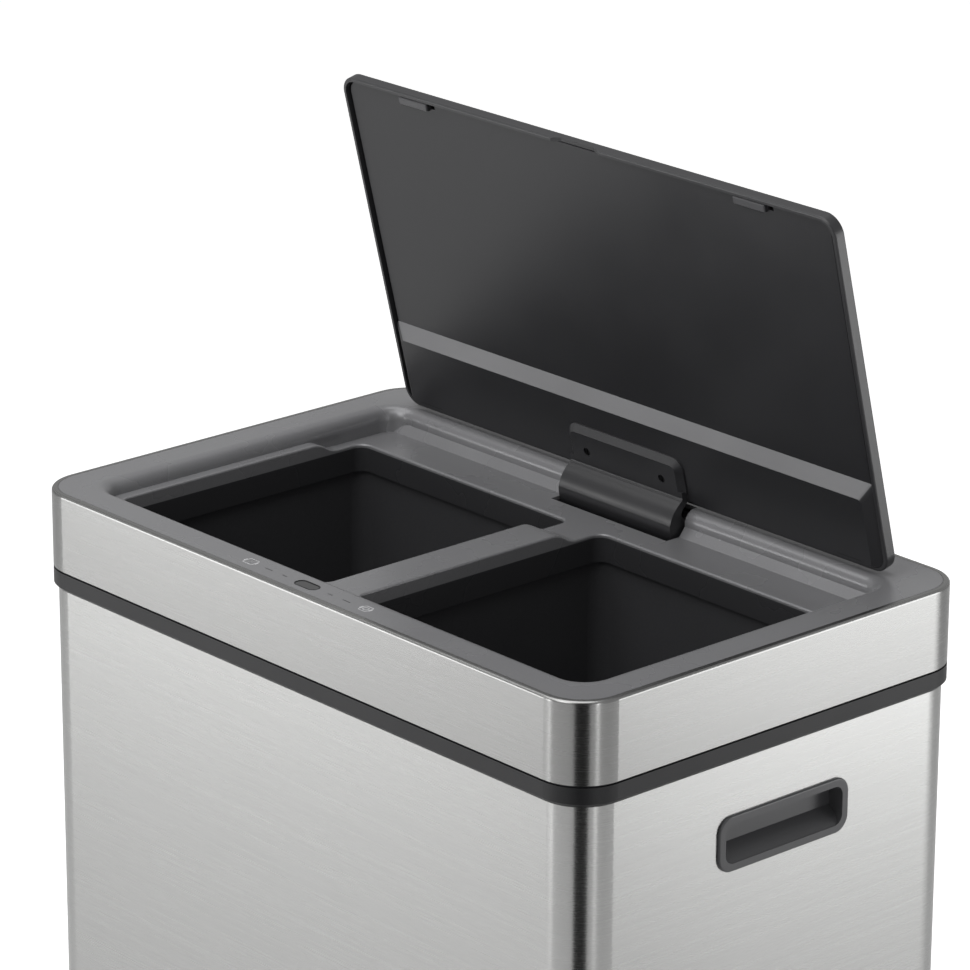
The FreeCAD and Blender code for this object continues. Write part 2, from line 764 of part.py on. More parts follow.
def battery_box():
    half_x, half_y, tall = battery_size()
    z0 = bay_z + cover_wall
    box = slab(box_x - half_x, box_x + half_x, box_y - half_y, box_y + half_y, z0, z0 + tall, 2)
    inner = slab(box_x - half_x + 1.5, box_x + half_x - 1.5, box_y - half_y + 1.5, box_y + half_y - 1.5,
                 z0 - 1, z0 + tall - 1.5)
    ribs = [slab(box_x - half_x, box_x + half_x, y - 0.25, y + 0.25, z0 + tall - 6, z0 + tall)
            for y in cell_rows_y()[:-1]]
    ribs = [r.translated(V(0, cell_r + 0.3, 0)) for r in ribs]
    return join([box.cut(inner)] + ribs)


def cell_rows_y():
    pitch = 2 * (cell_r + 0.3)
    return [box_y + (row - (cell_rows - 1) / 2) * pitch for row in range(cell_rows)]


def battery_cells():
    z = bay_z + cover_wall + cell_r + 0.6
    cells = []
    for row, y in enumerate(cell_rows_y()):
        for column in range(cell_columns):
            x = box_x + (column - cell_columns / 2) * (cell_len + 1.2) + 0.6
            can = rod_x(y, z, cell_r, x, x + cell_len - 1.2)
            nub_x = x + cell_len - 1.2
            if row % 2:
                can = can.translated(V(1.2, 0, 0))
                nub_x = x
            cells.append(can.fuse(rod_x(y, z, 2.7, nub_x, nub_x + 1.2)))
    return Part.makeCompound(cells)


def battery_contacts():
    half_x, _, _ = battery_size()
    z = bay_z + cover_wall + cell_r + 0.6
    plates = []
    for side in (-1, 1):
        x = box_x + side * (half_x - 1.9)
        for y in cell_rows_y():
            plates.append(slab(x - 0.3, x + 0.3, y - 5, y + 5, z - 5, z + 5))
            low, high = sorted((x + side * -0.3, x - side * 3.0))
            plates.append(rod_x(y, z, 2.4, low, high))
    return Part.makeCompound(plates)


def battery_door():
    half_x, half_y, _ = battery_size()
    z1 = bay_z - 0.2
    door = slab(box_x - half_x, box_x + half_x, box_y - half_y, box_y + half_y, z1 - door_t, z1, 1.5)
    grips = [slab(box_x - half_x + x, box_x - half_x + x + 1.2, box_y - 12, box_y + 12, z1 - door_t - 0.5,
                  z1 - door_t + 0.2) for x in (8.0, 11.0, 14.0, 17.0)]
    return join([door] + grips)


def gear_plate():
    y0, z0 = motor_axis()
    y1, z1 = idler_axis()
    x = gear_plate_x()
    foot_z = bay_z + cover_wall
    plate = slab(x, x + gear_plate_t, y0 - motor_r - 3, y1 + 10, foot_z, z0 + motor_r + 3, 0)
    foot = slab(x, x + 18, y0 - motor_r - 3, y1 + 10, foot_z, foot_z + 1.8)
    plate = join([plate, foot])
    holes = [rod_x(y0, z0, 4.5, x - 1, x + 5), rod_x(y1, z1, axle_r + 0.02, x - 1, x + 5)]
    holes += [rod_x(y, z, 1.4, x - 1, x + 5) for y, z in motor_screw_places()]
    holes += [rod_z(sx, sy, 1.5, foot_z - 1, foot_z + 5) for sx, sy in plate_screw_places()]
    return plate.cut(Part.makeCompound(holes))


def gear_plate_x():
    return wheel_x() + wheel_w + 1.5


def motor_screw_places():
    y, z = motor_axis()
    return [(y - 8.5, z), (y + 8.5, z)]


def plate_screw_places():
    x = gear_plate_x() + 14.0
    y, _ = motor_axis()
    return [(x, y - motor_r - 0.5), (x, y + 22.0)]


def plate_screws():
    return Part.makeCompound([screw(x, y, bay_z, 6.0, 1, r=1.45, head_r=2.6, head_h=1.5)
                              for x, y in plate_screw_places()])


def gear_motor():
    x = gear_plate_x() + gear_plate_t
    y, z = motor_axis()
    head = rod_x(y, z, motor_r, x, x + gearhead_len)
    can = rod_x(y, z, motor_r - 0.6, x + gearhead_len, x + gearhead_len + motor_len)
    boss = rod_x(y, z, 4.0, x - gear_plate_t, x)
    rear = rod_x(y, z, 3.5, x + gearhead_len + motor_len, x + gearhead_len + motor_len + 2)
    motor = join([head, can, boss, rear])
    for sy, sz in motor_screw_places():
        motor = motor.cut(rod_x(sy, sz, 1.2, x - 1, x + 5))
    return motor


def motor_screws():
    x = gear_plate_x()
    screws = []
    for y, z in motor_screw_places():
        shank = rod_x(y, z, 1.2, x, x + gear_plate_t + 4.5)
        screws.append(shank.fuse(rod_x(y, z, 2.2, x - 1.3, x)).removeSplitter())
    return Part.makeCompound(screws)


def idler_axle():
    y, z = idler_axis()
    return rod_x(y, z, axle_r, pocket_x + 1.5, gear_plate_x() + gear_plate_t)


def gear_x():
    """Start of the sector and idler pinion along the shaft."""
    return pocket_x + pocket_wall + bush_out + 1.7


def wheel_x():
    return gear_x() + gear_w + 1.5


def idler_gear():
    y, z = idler_axis()
    x = gear_x()
    pitch = 360.0 / idler_teeth
    pinion = gear(y, z, idler_teeth, module_out, mesh_dir + 180 + pitch / 2, x, wheel_x() + 0.5)
    wheel = gear(y, z, wheel_teeth, module_in, 180.0, wheel_x(), wheel_x() + wheel_w)
    return pinion.fuse(wheel).cut(rod_x(y, z, axle_r + running_gap, x - 1, x + 20)).removeSplitter()


def motor_pinion():
    y, z = motor_axis()
    pitch = 360.0 / pinion_teeth
    body = gear(y, z, pinion_teeth, module_in, pitch / 2, wheel_x() - 0.3, wheel_x() + wheel_w + 0.3)
    return body.fuse(rod_x(y, z, 2.0, wheel_x() + wheel_w, gear_plate_x() - 0.3)).removeSplitter()


def hinge_bush():
    """Right bush: its flange is inside the pocket, and its bore carries the hinge shaft."""
    x1 = pocket_x + pocket_wall + bush_out
    sleeve = rod_x(pivot_y, pivot_z, bush_r, pocket_x, x1)
    flange = rod_x(pivot_y, pivot_z, bush_r + 1.8, pocket_x - bush_flange, pocket_x)
    bore = rod_x(pivot_y, pivot_z, shaft_r + running_gap, 0, x1 + 1)
    return sleeve.fuse(flange).cut(bore).removeSplitter()


def hinge_bushes():
    return Part.makeCompound(both_sides(hinge_bush()))


def switch_body():
    z = height - switch_drop
    block = switch_block(0, hy - 18, hy - 0.2)
    axis_y = hy - 0.9 - rocker_r
    hole = rod_x(axis_y, z, rocker_r + 0.4, switch_x - rocker_w / 2 - 0.4, switch_x + rocker_w / 2 + 0.4)
    mouth = slab(switch_x - rocker_w / 2 - 0.4, switch_x + rocker_w / 2 + 0.4, axis_y, hy + 1,
                 z - rocker_r - 0.4, z + rocker_r + 0.4)
    pins = rod_x(axis_y, z, 1.5 + running_gap, switch_x - rocker_w / 2 - 2, switch_x + rocker_w / 2 + 2)
    blades = [slab(switch_x + x - 2, switch_x + x + 2, hy - 25, hy - 17.5, z - 0.4, z + 0.4)
              for x in (-5.0, 5.0)]
    return join([block.cut(Part.makeCompound([hole, mouth, pins]))] + blades)


def switch_rocker():
    z = height - switch_drop
    axis_y = hy - 0.9 - rocker_r
    x0 = switch_x - rocker_w / 2
    body = rod_x(axis_y, z, rocker_r, x0, x0 + rocker_w)
    face_y = axis_y + rocker_r * math.cos(math.radians(2 * rocker_tilt))
    lean = 12 * math.tan(math.radians(rocker_tilt))
    front = [((face_y - lean, z + 12),), ((face_y + 12, z + 12),), ((face_y + 12, z - 12),),
             ((face_y - lean, z - 12),)]
    body = body.cut(across((face_y, z), front, x0 - 1, x0 + rocker_w + 1))
    pins = rod_x(axis_y, z, 1.5, x0 - 1.7, x0 + rocker_w + 1.7)
    rocker = join([body, pins])
    rocker.rotate(V(0, axis_y, z), V(1, 0, 0), rocker_tilt)
    return rocker


def wiring_loom():
    y = -hy + window_from_front - loom_side
    x = -hx + loom_inset
    z = height - loom_drop
    start = V(-board_len / 2 + 3, y, height - board_drop - 1.6 - loom_r - 0.5)
    points = [start, V(-board_len / 2 - 30, y, start.z), V(-board_len / 2 - 75, y, z), V(x, y, z),
              V(x, cover_front + 25, z), V(-cover_half + 12, cover_front + 25, z)]
    return tube(points, loom_r, loom_bend)


# ---- lid -------------------------------------------------------------------------------------------
def lid_slab(inset, z0, z1):
    return slab(-lid_x + inset, lid_x - inset, lid_y0 + inset, lid_y1 - inset, z0, z1, lid_r - inset)


def lid_frame():
    block = lid_slab(0, lip_z, lid_top)
    rims = [e for e in block.Edges if e.BoundBox.ZLength < 0.01]
    block = block.makeFillet(lid_edge_r, rims)
    block = block.cut(lid_slab(panel_inset, lid_top - steel - 0.1, lid_top + 1))
    under = lid_top - steel - 0.1 - skin
    block = block.cut(lid_slab(lip_w, lip_z - 1, under))
    rib_z = lip_z + liner_recess + skin
    ribs = [slab(-lid_x + 8, lid_x - 8, y - rib_t / 2, y + rib_t / 2, rib_z, under + 0.5)
            for y in (-100.0, -50.0, 0.0, 45.0)]
    block = join([block] + ribs)
    half = notch_w / 2
    scoop = Part.makePolygon([V(-half, 0, lip_z - 1), V(-half, 0, lip_z), V(-half + 8, 0, lip_z + notch_h),
                              V(half - 8, 0, lip_z + notch_h), V(half, 0, lip_z), V(half, 0, lip_z - 1),
                              V(-half, 0, lip_z - 1)])
    scoop = Part.Face(scoop).extrude(V(0, lip_w + 2, 0)).translated(V(0, lid_y0 - 1, 0))
    block = block.cut(scoop)
    for x in (-bracket_screw_x, bracket_screw_x):
        y = lid_y1 - bracket_screw_s
        block = block.fuse(rod_z(x, y, 4.0, rib_z, under + 0.5))
        block = block.cut(rod_z(x, y, 1.5, lip_z, under + 0.3))
    return block.removeSplitter()


def island(drop):
    """Raised zone of the liner: sloped at its front and ends; drop gives its hollow back."""
    face_z = lip_z - island_h + drop
    base_z = lip_z + liner_recess + drop + (0.01 if drop else 0)
    inset = lip_w + fit_gap
    pull = drop * 0.6
    y1 = lid_y1 - inset - pull
    low = (-lid_x + inset + island_side + pull, lid_x - inset - island_side - pull,
           lid_y1 - island_len + pull, y1 - 1.5, face_z, 4.0)
    high = (-lid_x + inset + pull, lid_x - inset - pull, lid_y1 - island_len - island_slope + pull, y1,
            base_z, 4.0)
    return taper(low, high)


def lid_liner():
    inset = lip_w + fit_gap
    panel_z = lip_z + liner_recess
    panel = slab(-lid_x + lip_w + side_groove, lid_x - lip_w - side_groove, lid_y0 + inset, lid_y1 - inset,
                 panel_z, panel_z + skin, lid_r - inset)
    liner = panel.fuse(island(0).common(lid_slab(inset, lip_z - 20, lid_top)))
    liner = liner.cut(island(skin).common(lid_slab(inset + skin, lip_z - 20, panel_z + skin + 0.02)))
    posts = [rod_z(x, lid_y1 - bracket_screw_s, 4.5, lip_z - island_h + 0.5, panel_z + skin)
             for x in (-bracket_screw_x, bracket_screw_x)]
    tabs = []
    slots = []
    y0 = lid_y0 + inset
    for x in (-tab_x, tab_x):
        tabs.append(slab(x - tab_w / 2, x + tab_w / 2, y0, y0 + tab_len, lip_z + 0.6, panel_z + 0.5))
        slots.append(slab(x + tab_w / 2 + 0.6, x + tab_w / 2 + 0.6 + catch_slot, y0 - 1, y0 + tab_len - 1.5,
                          panel_z - 1, panel_z + skin + 1))
    liner = join([liner] + posts + tabs).cut(Part.makeCompound(slots))
    for x in (-bracket_screw_x, bracket_screw_x):
        liner = liner.cut(rod_z(x, lid_y1 - bracket_screw_s, 1.5, lip_z - 10, lid_top))
    return liner.removeSplitter()


def lid_top_panel():
    return lid_slab(panel_inset + 0.2, lid_top - steel - 0.1, lid_top - 0.1)


def lid_point(s, h):
    """Point of the closed lid: s back from its hinge edge, h below its lip, as (y, z)."""
    return lid_y1 - s, lip_z - h


def guard_point(angle, radius):
    """Point about the hinge axis of the closed lid, angle in degrees from the lid's plane, downwards."""
    turn = math.radians(angle)
    return pivot_y - radius * math.cos(turn), pivot_z - radius * math.sin(turn)


def guard_body(inner, x0, x1):
    """Neck and rounded guard of the bracket between two planes, closed by the inner side profile."""
    at = lid_point
    face = island_h + plate_t
    roll = guard_from + 14.0
    outer = [(at(14.0, face),), (at(10.5, face),), (at(8.6, face + 0.6), at(7.9, face + 2.0)),
             (at(6.6, face + 4.2),), (at(1.7, face + 11.3), guard_point(roll, guard_r)),
             (guard_point((roll + guard_to) / 2, guard_r), guard_point(guard_to, guard_r))]
    return across(at(14.0, island_h), outer + inner, x0, x1)


def hinge_bracket():
    half = bracket_w / 2
    at = lid_point
    face = island_h + plate_t
    low = guard_r - guard_t
    middle = (guard_from + guard_to) / 2
    shell = [(guard_point(guard_to, low),),
             (guard_point(middle + 2, low), guard_point(guard_from + 4, low)),
             (at(4.8, face + 1.0),), (at(6.0, island_h),)]
    cheek = [(at(-19.6, island_h + 2.5),), (at(-15.5, island_h + 2.0),), (at(-8.0, island_h + 2.0),),
             (at(-6.2, face + 1.0),), (at(-3.2, face + 3.6), at(0.8, face + 2.2)), (at(3.6, face - 1.5),),
             (at(5.4, island_h),)]
    ribs = [guard_body(cheek, x, x + guard_t) for x in (-half, -20.0, 20.0 - guard_t, half - guard_t)]
    body = join([guard_body(shell, -half, half)] + ribs)
    y, z = at(0, island_h)
    base = (-plate_w / 2, plate_w / 2, lid_y1 - plate_len, y - 6.0)
    top = (-plate_w / 2 + plate_bevel, plate_w / 2 - plate_bevel, lid_y1 - plate_len + plate_bevel, y - 9.0)
    foot = slab(*base, z - plate_edge, z, plate_r)
    slope = taper((*top, z - plate_t, plate_r - plate_bevel), (*base, z - plate_edge, plate_r))
    barrel = rod_x(pivot_y, pivot_z, barrel_r, -half, half)
    bracket = join([body, foot, slope, barrel])
    bracket = bracket.cut(rod_x(pivot_y, pivot_z, shaft_r + 0.02, -half - 1, half + 1))
    for x in (-bracket_screw_x, bracket_screw_x):
        sy, sz = at(bracket_screw_s, face)
        hole = rod_z(x, sy, 1.6, sz - 1, sz + 10).fuse(rod_z(x, sy, 3.3, sz - 1, sz + 2.6))
        bracket = bracket.cut(hole)
    return bracket.removeSplitter()


def bracket_screws():
    y, z = lid_point(bracket_screw_s, island_h + plate_t)
    return Part.makeCompound([screw(x, y, z + 2.6, 9.5, 1, r=1.5, head_r=3.0, head_h=1.8)
                              for x in (-bracket_screw_x, bracket_screw_x)])


def opened(shape):
    """Turns a piece of the closed lid to the open rest position."""
    turned = shape.copy()
    turned.rotate(V(0, pivot_y, pivot_z), V(1, 0, 0), -open_angle)
    return turned


def hinge_shaft():
    x = gear_x() + gear_w + 4.0
    shaft = rod_x(pivot_y, pivot_z, shaft_r, -pocket_x - pocket_wall - 6.0, x)
    for clip_x in shaft_clip_places():
        groove = rod_x(pivot_y, pivot_z, shaft_r + 1, clip_x, clip_x + 0.8)
        shaft = shaft.cut(groove.cut(rod_x(pivot_y, pivot_z, shaft_r - 0.6, clip_x - 1, clip_x + 2)))
    return shaft


def shaft_clip_places():
    return (-pocket_x - pocket_wall - 4.0, gear_x() + gear_w + 1.0)


def shaft_clips():
    clips = []
    for x in shaft_clip_places():
        clip = rod_x(pivot_y, pivot_z, shaft_r + 2.0, x, x + 0.8)
        clip = clip.cut(rod_x(pivot_y, pivot_z, shaft_r - 0.6, x - 1, x + 2))
        clips.append(clip.cut(slab(x - 1, x + 2, pivot_y - 1.6, pivot_y + 1.6, pivot_z, pivot_z + 9)))
    return Part.makeCompound(clips)


def sector_gear():
    x = gear_x()
    pitch = 360.0 / sector_teeth
    whole = gear(pivot_y, pivot_z, sector_teeth, module_out, mesh_dir, x, x + gear_w)
    a0 = mesh_dir + (sector_first - 0.4) * pitch
    a1 = mesh_dir + (sector_last + 0.4) * pitch
    part = whole.common(wedge(pivot_y, pivot_z, 60.0, a0, a1, x - 1, x + gear_w + 1))
    hub = rod_x(pivot_y, pivot_z, barrel_r, x, x + gear_w)
    return join([part, hub]).cut(rod_x(pivot_y, pivot_z, shaft_r + 0.02, x - 1, x + gear_w + 1))


# ---- build and write -------------------------------------------------------------------------------
def build():
    right_handle = handle_right()
    right_bucket = bucket()
    return {
        "outer_shell": outer_shell(),
        "base_tray": base_tray(),
        "base_feet": base_feet(),
        "base_screws": base_screws(),
        "collar_band": collar_band(),
        "handle_right": right_handle,
        "handle_left": mirror_x(right_handle),
        "bucket_right": right_bucket,
        "bucket_left": mirror_x(right_bucket),
        "hood_ring": hood_ring(),
        "rim_frame": rim_frame(),
        "sensor_window": sensor_window(),
        "control_board": control_board(),
        "sensor_cover": sensor_cover(),
        "sensor_cover_screws": sensor_cover_screws(),
        "drive_cover": drive_cover(),
        "cover_screws": cover_screws(),
        "battery_box": battery_box(),
        "battery_cells": battery_cells(),
        "battery_contacts": battery_contacts(),
        "battery_door": battery_door(),
        "gear_plate": gear_plate(),
        "plate_screws": plate_screws(),
        "gear_motor": gear_motor(),
        "motor_screws": motor_screws(),
        "idler_axle": idler_axle(),
        "idler_gear": idler_gear(),
        "motor_pinion": motor_pinion(),
        "hinge_bushes": hinge_bushes(),
        "switch_body": switch_body(),
        "switch_rocker": switch_rocker(),
        "wiring_loom": wiring_loom(),
        "lid_frame": opened(lid_frame()),
        "lid_liner": opened(lid_liner()),
        "lid_top_panel": opened(lid_top_panel()),
        "hinge_bracket": opened(hinge_bracket()),
        "bracket_screws": opened(bracket_screws()),
        "hinge_shaft": hinge_shaft(),
        "shaft_clips": shaft_clips(),
        "sector_gear": sector_gear(),
    }


os.makedirs("parts", exist_ok=True)
for name, shape in build().items():
    state = "valid" if shape.isValid() else "NOT VALID"
    print(name, len(shape.Solids), round(shape.Volume / 1000, 2), "cm3", state)
    shape.exportStep("parts/" + name + ".step")
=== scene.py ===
"""Dressed model of a double recycling bin: brushed steel body and hood, moulded rim, motor-driven lid.

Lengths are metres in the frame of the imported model: +X right, -Y front, +Z up, origin on the floor.
"""
import logging
import math
from dataclasses import dataclass
from enum import Enum
from typing import Any, Dict, List, Optional, Tuple, Union

import bpy
import numpy as np
from mathutils import Matrix, Vector


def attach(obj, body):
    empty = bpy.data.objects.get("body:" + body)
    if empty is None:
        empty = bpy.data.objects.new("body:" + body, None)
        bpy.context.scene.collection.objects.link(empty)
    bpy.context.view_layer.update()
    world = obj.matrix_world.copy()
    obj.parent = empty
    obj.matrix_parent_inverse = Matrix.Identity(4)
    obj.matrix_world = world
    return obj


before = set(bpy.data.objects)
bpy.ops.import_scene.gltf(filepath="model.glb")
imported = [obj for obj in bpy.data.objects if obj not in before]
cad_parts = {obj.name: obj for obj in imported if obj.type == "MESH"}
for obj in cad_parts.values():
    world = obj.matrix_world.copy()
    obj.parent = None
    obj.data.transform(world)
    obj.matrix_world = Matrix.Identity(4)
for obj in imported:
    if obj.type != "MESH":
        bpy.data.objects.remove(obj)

logging.basicConfig(level=logging.INFO, format="%(levelname)s %(message)s")
log = logging.getLogger("bin")

MM = 0.001
Array = np.ndarray
Colour = Tuple[float, float, float, float]
Point = Tuple[float, float, float]
Mesh = Tuple[Array, List[List[int]]]
ROUND = 0.999  # corner radius of a loop over its half width: all but a circle, so that no edge is lost


# ---- colour and nodes ------------------------------------------------------------------------------
def linear(hex_colour: str) -> Colour:
    """Turns an sRGB hex value into linear light.

    Args:
        hex_colour: six hex digits, such as "c8c8c6".

    Returns:
        Red, green, blue and an alpha of 1, where c = ((s + 0.055) / 1.055) ** 2.4 above 0.04045.
    """
    srgb = np.array([int(hex_colour[i:i + 2], 16) / 255 for i in (0, 2, 4)])
    light = np.where(srgb > 0.04045, ((srgb + 0.055) / 1.055) ** 2.4, srgb / 12.92)
    return float(light[0]), float(light[1]), float(light[2]), 1.0


def add_node(
    tree: bpy.types.NodeTree,
    kind: str,
    links: Optional[Dict[Any, Any]] = None,
    values: Optional[Dict[Any, Any]] = None,
    **settings: Any,
) -> bpy.types.Node:
    """Adds one shader node with its settings, socket values and incoming links.

    Args:
        tree: the material's or world's node tree.
        kind: Blender's node type.
        links: input socket to the output socket that feeds it.
        values: input socket to its constant value.
        settings: the node's own properties.

    Returns:
        The new node.
    """
    node = tree.nodes.new(kind)
    for key, value in settings.items():
        setattr(node, key, value)
    for key, value in (values or {}).items():
        node.inputs[key].default_value = value
    for key, source in (links or {}).items():
        tree.links.new(source, node.inputs[key])
    return node


def new_material(name: str) -> Tuple[bpy.types.Material, bpy.types.NodeTree]:
    """Makes an empty node material.

    Args:
        name: the material's name.

    Returns:
        The material and its cleared node tree.
    """
    material = bpy.data.materials.new(name)
    material.use_nodes = True
    material.node_tree.nodes.clear()
    return material, material.node_tree


class Grain(Enum):
    """Direction of the brushing on a steel face."""

    AROUND = "AROUND"
    ALONG_X = "ALONG_X"


@dataclass(frozen=True)
class BrushedSteel:
    """Stainless sheet, belt-brushed: fine parallel scratches stretch each highlight across them.

    Belt lines are about 0.1 mm wide; they are drawn 0.45 mm wide, so that they still show from 3 m.
    """

    name: str
    colour: str = "adadac"
    dark: str = "a9a9a8"
    roughness: float = 0.27
    anisotropy: float = 0.75
    scratch_mm: float = 0.45
    length_mm: float = 90.0
    bump: float = 0.006
    depth_mm: float = 0.1
    coarse: float = 5.0
    coarse_share: float = 0.45
    gloss_drift: Tuple[float, float] = (0.006, 0.008)
    grain: Grain = Grain.AROUND

    def build(self) -> bpy.types.Material:
        """Makes the material: scratches are noise squeezed across the grain and drawn out along it.

        A coarser copy of the same noise, five times as wide, shows the passes of the belt.

        Returns:
            The material.
        """
        material, tree = new_material(self.name)
        place = add_node(tree, "ShaderNodeTexCoord").outputs["Object"]
        fine = 1 / (self.scratch_mm * MM)
        slow = 1 / (self.length_mm * MM)
        scale = (slow, slow, fine) if self.grain is Grain.AROUND else (slow, fine, fine)
        stretched = add_node(tree, "ShaderNodeMapping", {"Vector": place}, {"Scale": scale})
        scratches = add_node(tree, "ShaderNodeTexNoise", {"Vector": stretched.outputs[0]},
                             {"Scale": 1.0, "Detail": 3.0, "Roughness": 0.6})
        wide = tuple(part / self.coarse for part in scale)
        stretched_far = add_node(tree, "ShaderNodeMapping", {"Vector": place}, {"Scale": wide})
        passes = add_node(tree, "ShaderNodeTexNoise", {"Vector": stretched_far.outputs[0]},
                          {"Scale": 1.0, "Detail": 2.0, "Roughness": 0.5})
        quiet = add_node(tree, "ShaderNodeMath", {0: passes.outputs[0]}, {1: self.coarse_share},
                         operation="MULTIPLY")
        both = add_node(tree, "ShaderNodeMath", {0: scratches.outputs[0], 1: quiet.outputs[0]},
                        operation="ADD")
        tone = add_node(tree, "ShaderNodeMapRange", {"Value": both.outputs[0]},
                        {"From Min": 0.5, "From Max": 0.95})
        colour = add_node(tree, "ShaderNodeMix", {"Factor": tone.outputs[0]}, data_type="RGBA")
        colour.inputs[6].default_value = linear(self.dark)
        colour.inputs[7].default_value = linear(self.colour)
        rough = add_node(tree, "ShaderNodeMapRange", {"Value": both.outputs[0]},
                         {"From Min": 0.5, "From Max": 0.95,
                          "To Min": self.roughness - self.gloss_drift[0],
                          "To Max": self.roughness + self.gloss_drift[1]})
        relief = add_node(tree, "ShaderNodeBump", {"Height": scratches.outputs[0]},
                          {"Strength": self.bump, "Distance": self.depth_mm * MM})
        if self.grain is Grain.AROUND:
            along = add_node(tree, "ShaderNodeTangent", direction_type="RADIAL", axis="Z").outputs[0]
        else:
            along = add_node(tree, "ShaderNodeCombineXYZ", values={"X": 1.0}).outputs[0]
        shader = add_node(
            tree, "ShaderNodeBsdfPrincipled",
            {"Base Color": colour.outputs[2], "Roughness": rough.outputs[0],
             "Normal": relief.outputs[0], "Tangent": along},
            {"Metallic": 1.0, "Anisotropic": self.anisotropy, "Anisotropic Rotation": 0.25},
        )
        add_node(tree, "ShaderNodeOutputMaterial", {"Surface": shader.outputs[0]})
        return material


@dataclass(frozen=True)
class PaintedHighlightFacet:
    """Second tone on every face that looks one way: a painted highlight where such a face catches light.
    """

    colour: str
    facing: Point
    spread: float

    def mask(self, tree: bpy.types.NodeTree) -> Any:
        """Finds the faces: 0 where normal . facing is below 1 - spread, 1 above 1 - spread / 2.

        Args:
            tree: the material's node tree.

        Returns:
            The output socket with the share of the second tone.
        """
        facing = add_node(tree, "ShaderNodeTexCoord").outputs["Normal"]
        dot = add_node(tree, "ShaderNodeVectorMath", {0: facing}, {1: self.facing},
                       operation="DOT_PRODUCT")
        edge = add_node(tree, "ShaderNodeMapRange", {"Value": dot.outputs["Value"]},
                        {"From Min": 1 - self.spread, "From Max": 1 - self.spread * 0.5})
        return edge.outputs[0]


@dataclass(frozen=True)
class PaintedShadeBelow:
    """Second tone under a height: painted shade, darker low in a deep opening where shade falls."""

    colour: str
    height: float
    edge: float = 0.0006

    def mask(self, tree: bpy.types.NodeTree) -> Any:
        """Finds the part of the moulding: 1 under the height, falling to 0 over the width of the edge.

        Args:
            tree: the material's node tree.

        Returns:
            The output socket with the share of the second tone.
        """
        place = add_node(tree, "ShaderNodeTexCoord").outputs["Object"]
        parts = add_node(tree, "ShaderNodeSeparateXYZ", {"Vector": place})
        edge = add_node(tree, "ShaderNodeMapRange", {"Value": parts.outputs["Z"]},
                        {"From Min": self.height, "From Max": self.height + self.edge,
                         "To Min": 1.0, "To Max": 0.0})
        return edge.outputs[0]


@dataclass(frozen=True)
class Moulded:
    """Injection-moulded polymer: an even colour, a fine spark-eroded texture and faint cloudy gloss.

    The teeth of the texture are about 0.1 mm wide; they are drawn 0.6 mm wide or more, to show at all.
    """

    name: str
    colour: str
    roughness: float = 0.45
    grain_mm: float = 0.6
    bump: float = 0.06
    mottling: float = 0.06
    ior: float = 1.5
    specular: float = 0.5
    coat: float = 0.0
    metallic: float = 0.0
    cloud_mm: float = 70.0
    depth_mm: float = 0.2
    gloss_drift: Tuple[float, float] = (0.03, 0.04)
    second: Optional[Union[PaintedHighlightFacet, PaintedShadeBelow]] = None

    def build(self) -> bpy.types.Material:
        """Makes the material: fine noise gives the skin its tooth, slow noise lets its gloss drift.

        Returns:
            The material.
        """
        material, tree = new_material(self.name)
        place = add_node(tree, "ShaderNodeTexCoord").outputs["Object"]
        tooth = add_node(tree, "ShaderNodeTexNoise", {"Vector": place},
                         {"Scale": 1 / (self.grain_mm * MM), "Detail": 2.0, "Roughness": 0.5})
        cloud = add_node(tree, "ShaderNodeTexNoise", {"Vector": place},
                         {"Scale": 1 / (self.cloud_mm * MM), "Detail": 3.0})
        base = linear(self.colour)
        low = tuple(c * (1 - self.mottling) for c in base[:3]) + (1.0,)
        high = tuple(min(1.0, c * (1 + self.mottling)) for c in base[:3]) + (1.0,)
        both = add_node(tree, "ShaderNodeMath", {0: tooth.outputs[0], 1: cloud.outputs[0]},
                        operation="ADD")
        tone = add_node(tree, "ShaderNodeMapRange", {"Value": both.outputs[0]},
                        {"From Min": 0.6, "From Max": 1.4})
        colour = add_node(tree, "ShaderNodeMix", {"Factor": tone.outputs[0]}, data_type="RGBA")
        colour.inputs[6].default_value = low
        colour.inputs[7].default_value = high
        shade = colour.outputs[2]
        # The second tone is painted light: painted shade low in the rim's openings, a painted highlight
        # on the liner's strip.
        if self.second:
            painted_light_tone = add_node(tree, "ShaderNodeMix", {"Factor": self.second.mask(tree), 6: shade},
                              data_type="RGBA")
            painted_light_tone.inputs[7].default_value = linear(self.second.colour)
            shade = painted_light_tone.outputs[2]
        rough = add_node(tree, "ShaderNodeMapRange", {"Value": cloud.outputs[0]},
                         {"From Min": 0.3, "From Max": 0.7,
                          "To Min": self.roughness - self.gloss_drift[0],
                          "To Max": self.roughness + self.gloss_drift[1]})
        relief = add_node(tree, "ShaderNodeBump", {"Height": tooth.outputs[0]},
                          {"Strength": self.bump, "Distance": self.depth_mm * MM})
        shader = add_node(
            tree, "ShaderNodeBsdfPrincipled",
            {"Base Color": shade, "Roughness": rough.outputs[0], "Normal": relief.outputs[0]},
            {"Metallic": self.metallic, "IOR": self.ior, "Specular IOR Level": self.specular,
             "Coat Weight": self.coat, "Coat Roughness": 0.08},
        )
        add_node(tree, "ShaderNodeOutputMaterial", {"Surface": shader.outputs[0]})
        return material


